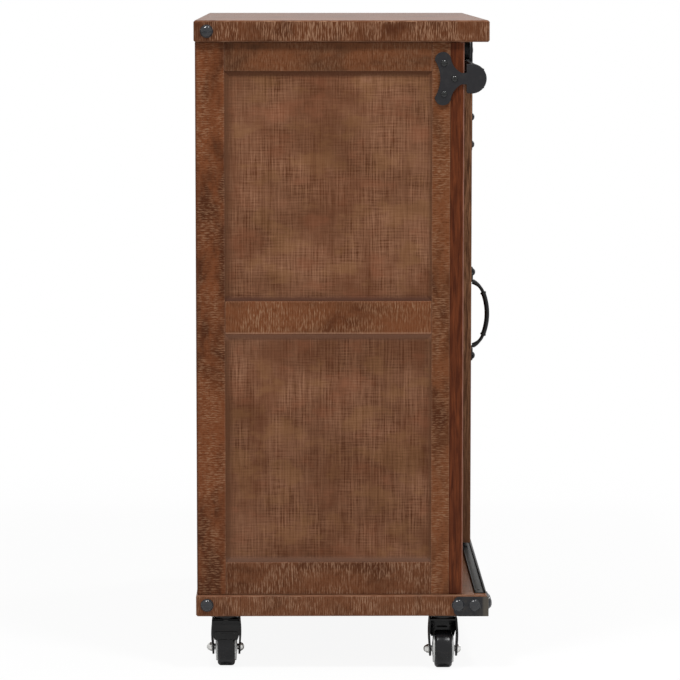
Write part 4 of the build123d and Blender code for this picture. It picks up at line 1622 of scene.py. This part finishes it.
    def wall(self, outer: float) -> list[bpy.types.Object]:
        """Models the wall that joins the legs: upright to a bead, then sloped towards the wheel.

        Args:
            outer: the distance of the legs' outer faces from the middle.

        Returns:
            The wall and its bead.
        """
        crease = self.crown_low - self.crease_drop
        low = self.crown_low - self.wall_drop
        back = -self.leg_top_half
        wall = Bench.block("wall", (back, -outer, low), (back + self.sheet, outer, self.crown_top))
        with Bench.editing(wall):
            bpy.ops.mesh.bisect(plane_co=UP * crease, plane_no=UP)
        with Bench.points(wall, lambda at: at.z < (crease + low) / 2):
            bpy.ops.transform.resize(value=(1, self.wall_taper, 1), center_override=UP * low)
            bpy.ops.transform.translate(value=(self.wall_slope, 0, 0))
        Bench.round_edges(wall, self.sheet * self.wall_easing, angle=self.wall_angle)
        place = Vector((back + self.bead / 2, 0, crease))
        width = 2 * outer * self.wall_taper
        bead = Bench.cylinder("bead", place, Lie.DEEP, self.bead, width, self.bead_sides)
        Bench.round_edges(bead, self.bead * self.bead_easing)
        return [wall, bead]

    def washer(self, thickness: float) -> bpy.types.Object:
        """Models one washer that lies on the origin."""
        centre = UP * thickness / 2
        washer = Bench.cylinder(
            "washer", centre, Lie.UPRIGHT, self.head_radius, thickness, self.washer_sides
        )
        Bench.round_edges(washer, self.washer_easing)
        return washer

    def cap(self, seat: float, share: float, height: float) -> bpy.types.Object:
        """Models one dome over an axle's end.

        Args:
            seat: the height of its flat side.
            share: its radius as a share of the washer's.
            height: the height of its top.

        Returns:
            The dome.
        """
        radius = self.head_radius * share
        return Bench.dome("cap", UP * seat, UP, radius, height - seat, self.cap_sides)

    def axle_head(self) -> bpy.types.Object:
        """Models one low domed head with a washer under it."""
        crown = self.cap(self.head_seat, self.head_share, self.head_height)
        return Bench.join("axle_head", [self.washer(self.head_washer), crown])

    def axle_nut(self) -> bpy.types.Object:
        """Models one cap nut: a washer, a hexagon and a dome."""
        centre = UP * self.hexagon_middle
        radius = self.head_radius * self.hexagon_share
        hexagon = Bench.cylinder("hexagon", centre, Lie.UPRIGHT, radius, self.hexagon_height, 6)
        Bench.round_edges(hexagon, self.hexagon_easing)
        crown = self.cap(self.cap_seat, self.cap_share, self.nut_height)
        return Bench.join("axle_nut", [self.washer(self.nut_washer), hexagon, crown])

    def axle_shank(self, box: Box) -> bpy.types.Object:
        """Models the plain rod between an axle's ends, with eased rims."""
        length = box[1].y - box[0].y - self.head_height - self.nut_height
        centre = middle(box)
        centre.y = box[0].y + self.head_height + length / 2
        shank = Bench.cylinder("shank", centre, Lie.DEEP, self.axle_radius, length, self.axle_sides)
        Bench.round_edges(shank, self.axle_easing)
        return shank

    def build(self) -> None:
        """Models, copies, dresses and hands over the castors."""
        tread, hub = self.tread.material(), self.hub.material()
        black, zinc = self.fork_metal.material(), self.zinc.material()
        paint_nodes(black, "castor_plates")
        masters = (self.wheel_master(), self.hub_master(), self.fork_master())
        ends = ((-1, self.head_height, self.axle_head), (1, self.nut_height, self.axle_nut))
        for corner in self.corners:
            wheel, fork, axle = (f"{corner}_castor_{kind}" for kind in ("wheel", "fork", "axle"))
            rolling, swinging = f"{corner}_wheel", f"{corner}_swivel"
            centre = middle(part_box(wheel))
            towards = 1 if centre.x > middle(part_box(fork)).x else -1
            swivel = Vector((centre.x - towards * self.trail, centre.y, 0))
            turn = Matrix.Rotation(0 if towards > 0 else math.pi, 4, "Z")
            places = (Matrix.Translation(centre),) * 2 + (Matrix.Translation(swivel) @ turn,)
            names = (f"{corner}_tread", f"{corner}_hub", f"{corner}_fork")
            tyre, boss, legs = (Bench.copy(*each) for each in zip(masters, names, places))
            hand_over(tyre, tread, rolling, [wheel])
            hand_over(boss, hub, rolling)
            hand_over(legs, black, swinging, [fork])
            shank = self.axle_shank(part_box(axle))
            Fasteners(axle, swinging, "zinc_steel", ends, Lie.DEEP).build(zinc, [shank])
        for master in masters:
            bpy.data.objects.remove(master)


@dataclass(frozen=True)
class Lamp:
    """A soft round lamp."""

    place: tuple[float, float, float]
    power: float
    size: float

    def hang(self, aim: Vector) -> None:
        """Hangs the lamp in its place, turned to a point."""
        light = bpy.data.lights.new("soft_lamp", "AREA")
        light.shape = "DISK"
        light.size = self.size
        light.energy = self.power
        lamp = bpy.data.objects.new("soft_lamp", light)
        bpy.context.scene.collection.objects.link(lamp)
        lamp.location = self.place
        lamp.rotation_euler = (aim - lamp.location).to_track_quat("-Z", "Y").to_euler()


@dataclass
class Studio:
    """A pale floor, soft light from above and the camera at the photograph's angle."""

    floor_size: float = 40.0
    floor_colour: Colour = (0.86, 0.86, 0.86)
    floor_roughness: float = 0.9
    floor_glow: float = 0.92
    shadow_reach: float = 1.6
    ambient: float = 0.44
    lamps: Sequence[Lamp] = (
        Lamp((-1.5, -0.95, 3.2), 51.0, 0.55),
        Lamp((-1.5, 0.95, 3.2), 51.0, 0.55),
        Lamp((2.2, -2.4, 2.4), 40.0, 1.2),
    )
    lamp_aim: tuple[float, float, float] = (-0.2, 0.0, 0.45)
    eye: tuple[float, float, float] = (-4.8265, 0.0646, 0.9241)
    yaw: float = math.radians(-0.658)
    pitch: float = math.radians(-6.203)
    lens: float = 181.47
    sensor: float = 36.0
    sight: float = 100.0

    def floor(self) -> None:
        """Lays the floor, which keeps the object's shadow and is near white to the camera."""
        bpy.ops.object.select_all(action="DESELECT")
        bpy.ops.mesh.primitive_plane_add(size=self.floor_size, location=ORIGIN)
        floor = Bench.begin("floor")
        paint = Paint("pale_floor")
        across, deep, _ = paint.axes()
        away = (across * across + deep * deep).rise(self.shadow_reach ** 2 / 4, self.shadow_reach ** 2)
        seen = paint.node("ShaderNodeLightPath", output="Is Camera Ray")
        paint.finish(Base_Color=self.floor_colour, Roughness=self.floor_roughness, Specular_IOR_Level=0.0)
        glow = paint.node("ShaderNodeEmission", None, {"Color": WHITE, "Strength": 1.0})
        share = seen * (self.floor_glow + (1 - self.floor_glow) * away)
        mixed = paint.node("ShaderNodeMixShader", None, {0: share, 1: paint.surface, 2: glow})
        paint.feed(paint.output.inputs["Surface"], mixed)
        floor.data.materials.append(paint.material)

    def world(self) -> None:
        """Sets a white surrounding, dimmer where it only lights the object."""
        world = bpy.data.worlds.new("studio_white")
        bpy.context.scene.world = world
        world.use_nodes = True
        nodes = Nodes(world.node_tree)
        back = next(node for node in world.node_tree.nodes if node.type == "BACKGROUND")
        path = nodes.add("ShaderNodeLightPath")
        camera, glossy, clear = (
            Wire(nodes, path.outputs[f"Is {ray} Ray"]) for ray in ("Camera", "Glossy", "Transmission")
        )
        seen = camera.most(glossy).most(clear)
        nodes.feed(back.inputs["Strength"], self.ambient + (1 - self.ambient) * seen)
        nodes.feed(back.inputs["Color"], WHITE)

    def camera(self) -> None:
        """Sets the camera where the photograph was taken from."""
        data = bpy.data.cameras.new("camera")
        data.lens = self.lens
        data.sensor_width = self.sensor
        data.clip_end = self.sight
        camera = bpy.data.objects.new("camera", data)
        bpy.context.scene.collection.objects.link(camera)
        level = math.cos(self.pitch)
        forward = Vector((level * math.cos(self.yaw), level * math.sin(self.yaw), math.sin(self.pitch)))
        camera.location = self.eye
        camera.rotation_euler = forward.to_track_quat("-Z", "Y").to_euler()
        bpy.context.scene.camera = camera

    def build(self) -> None:
        """Sets up the whole studio."""
        self.floor()
        self.world()
        for lamp in self.lamps:
            lamp.hang(Vector(self.lamp_aim))
        self.camera()
        bpy.context.scene.view_settings.view_transform = "Standard"
        log.info("studio: floor, world, lamps and camera set")


def main() -> None:
    """Builds and dresses each sub-assembly in order."""
    logging.basicConfig(level=logging.INFO, format="%(name)s: %(message)s")
    Carcass().dress()
    FaceFrame().dress()
    SlidingDoor().dress()
    HangingGear().build()
    DoorPull().build()
    Ironwork().build()
    CastorSet().build()
    Studio().build()


if __name__ == "__main__":
    main()
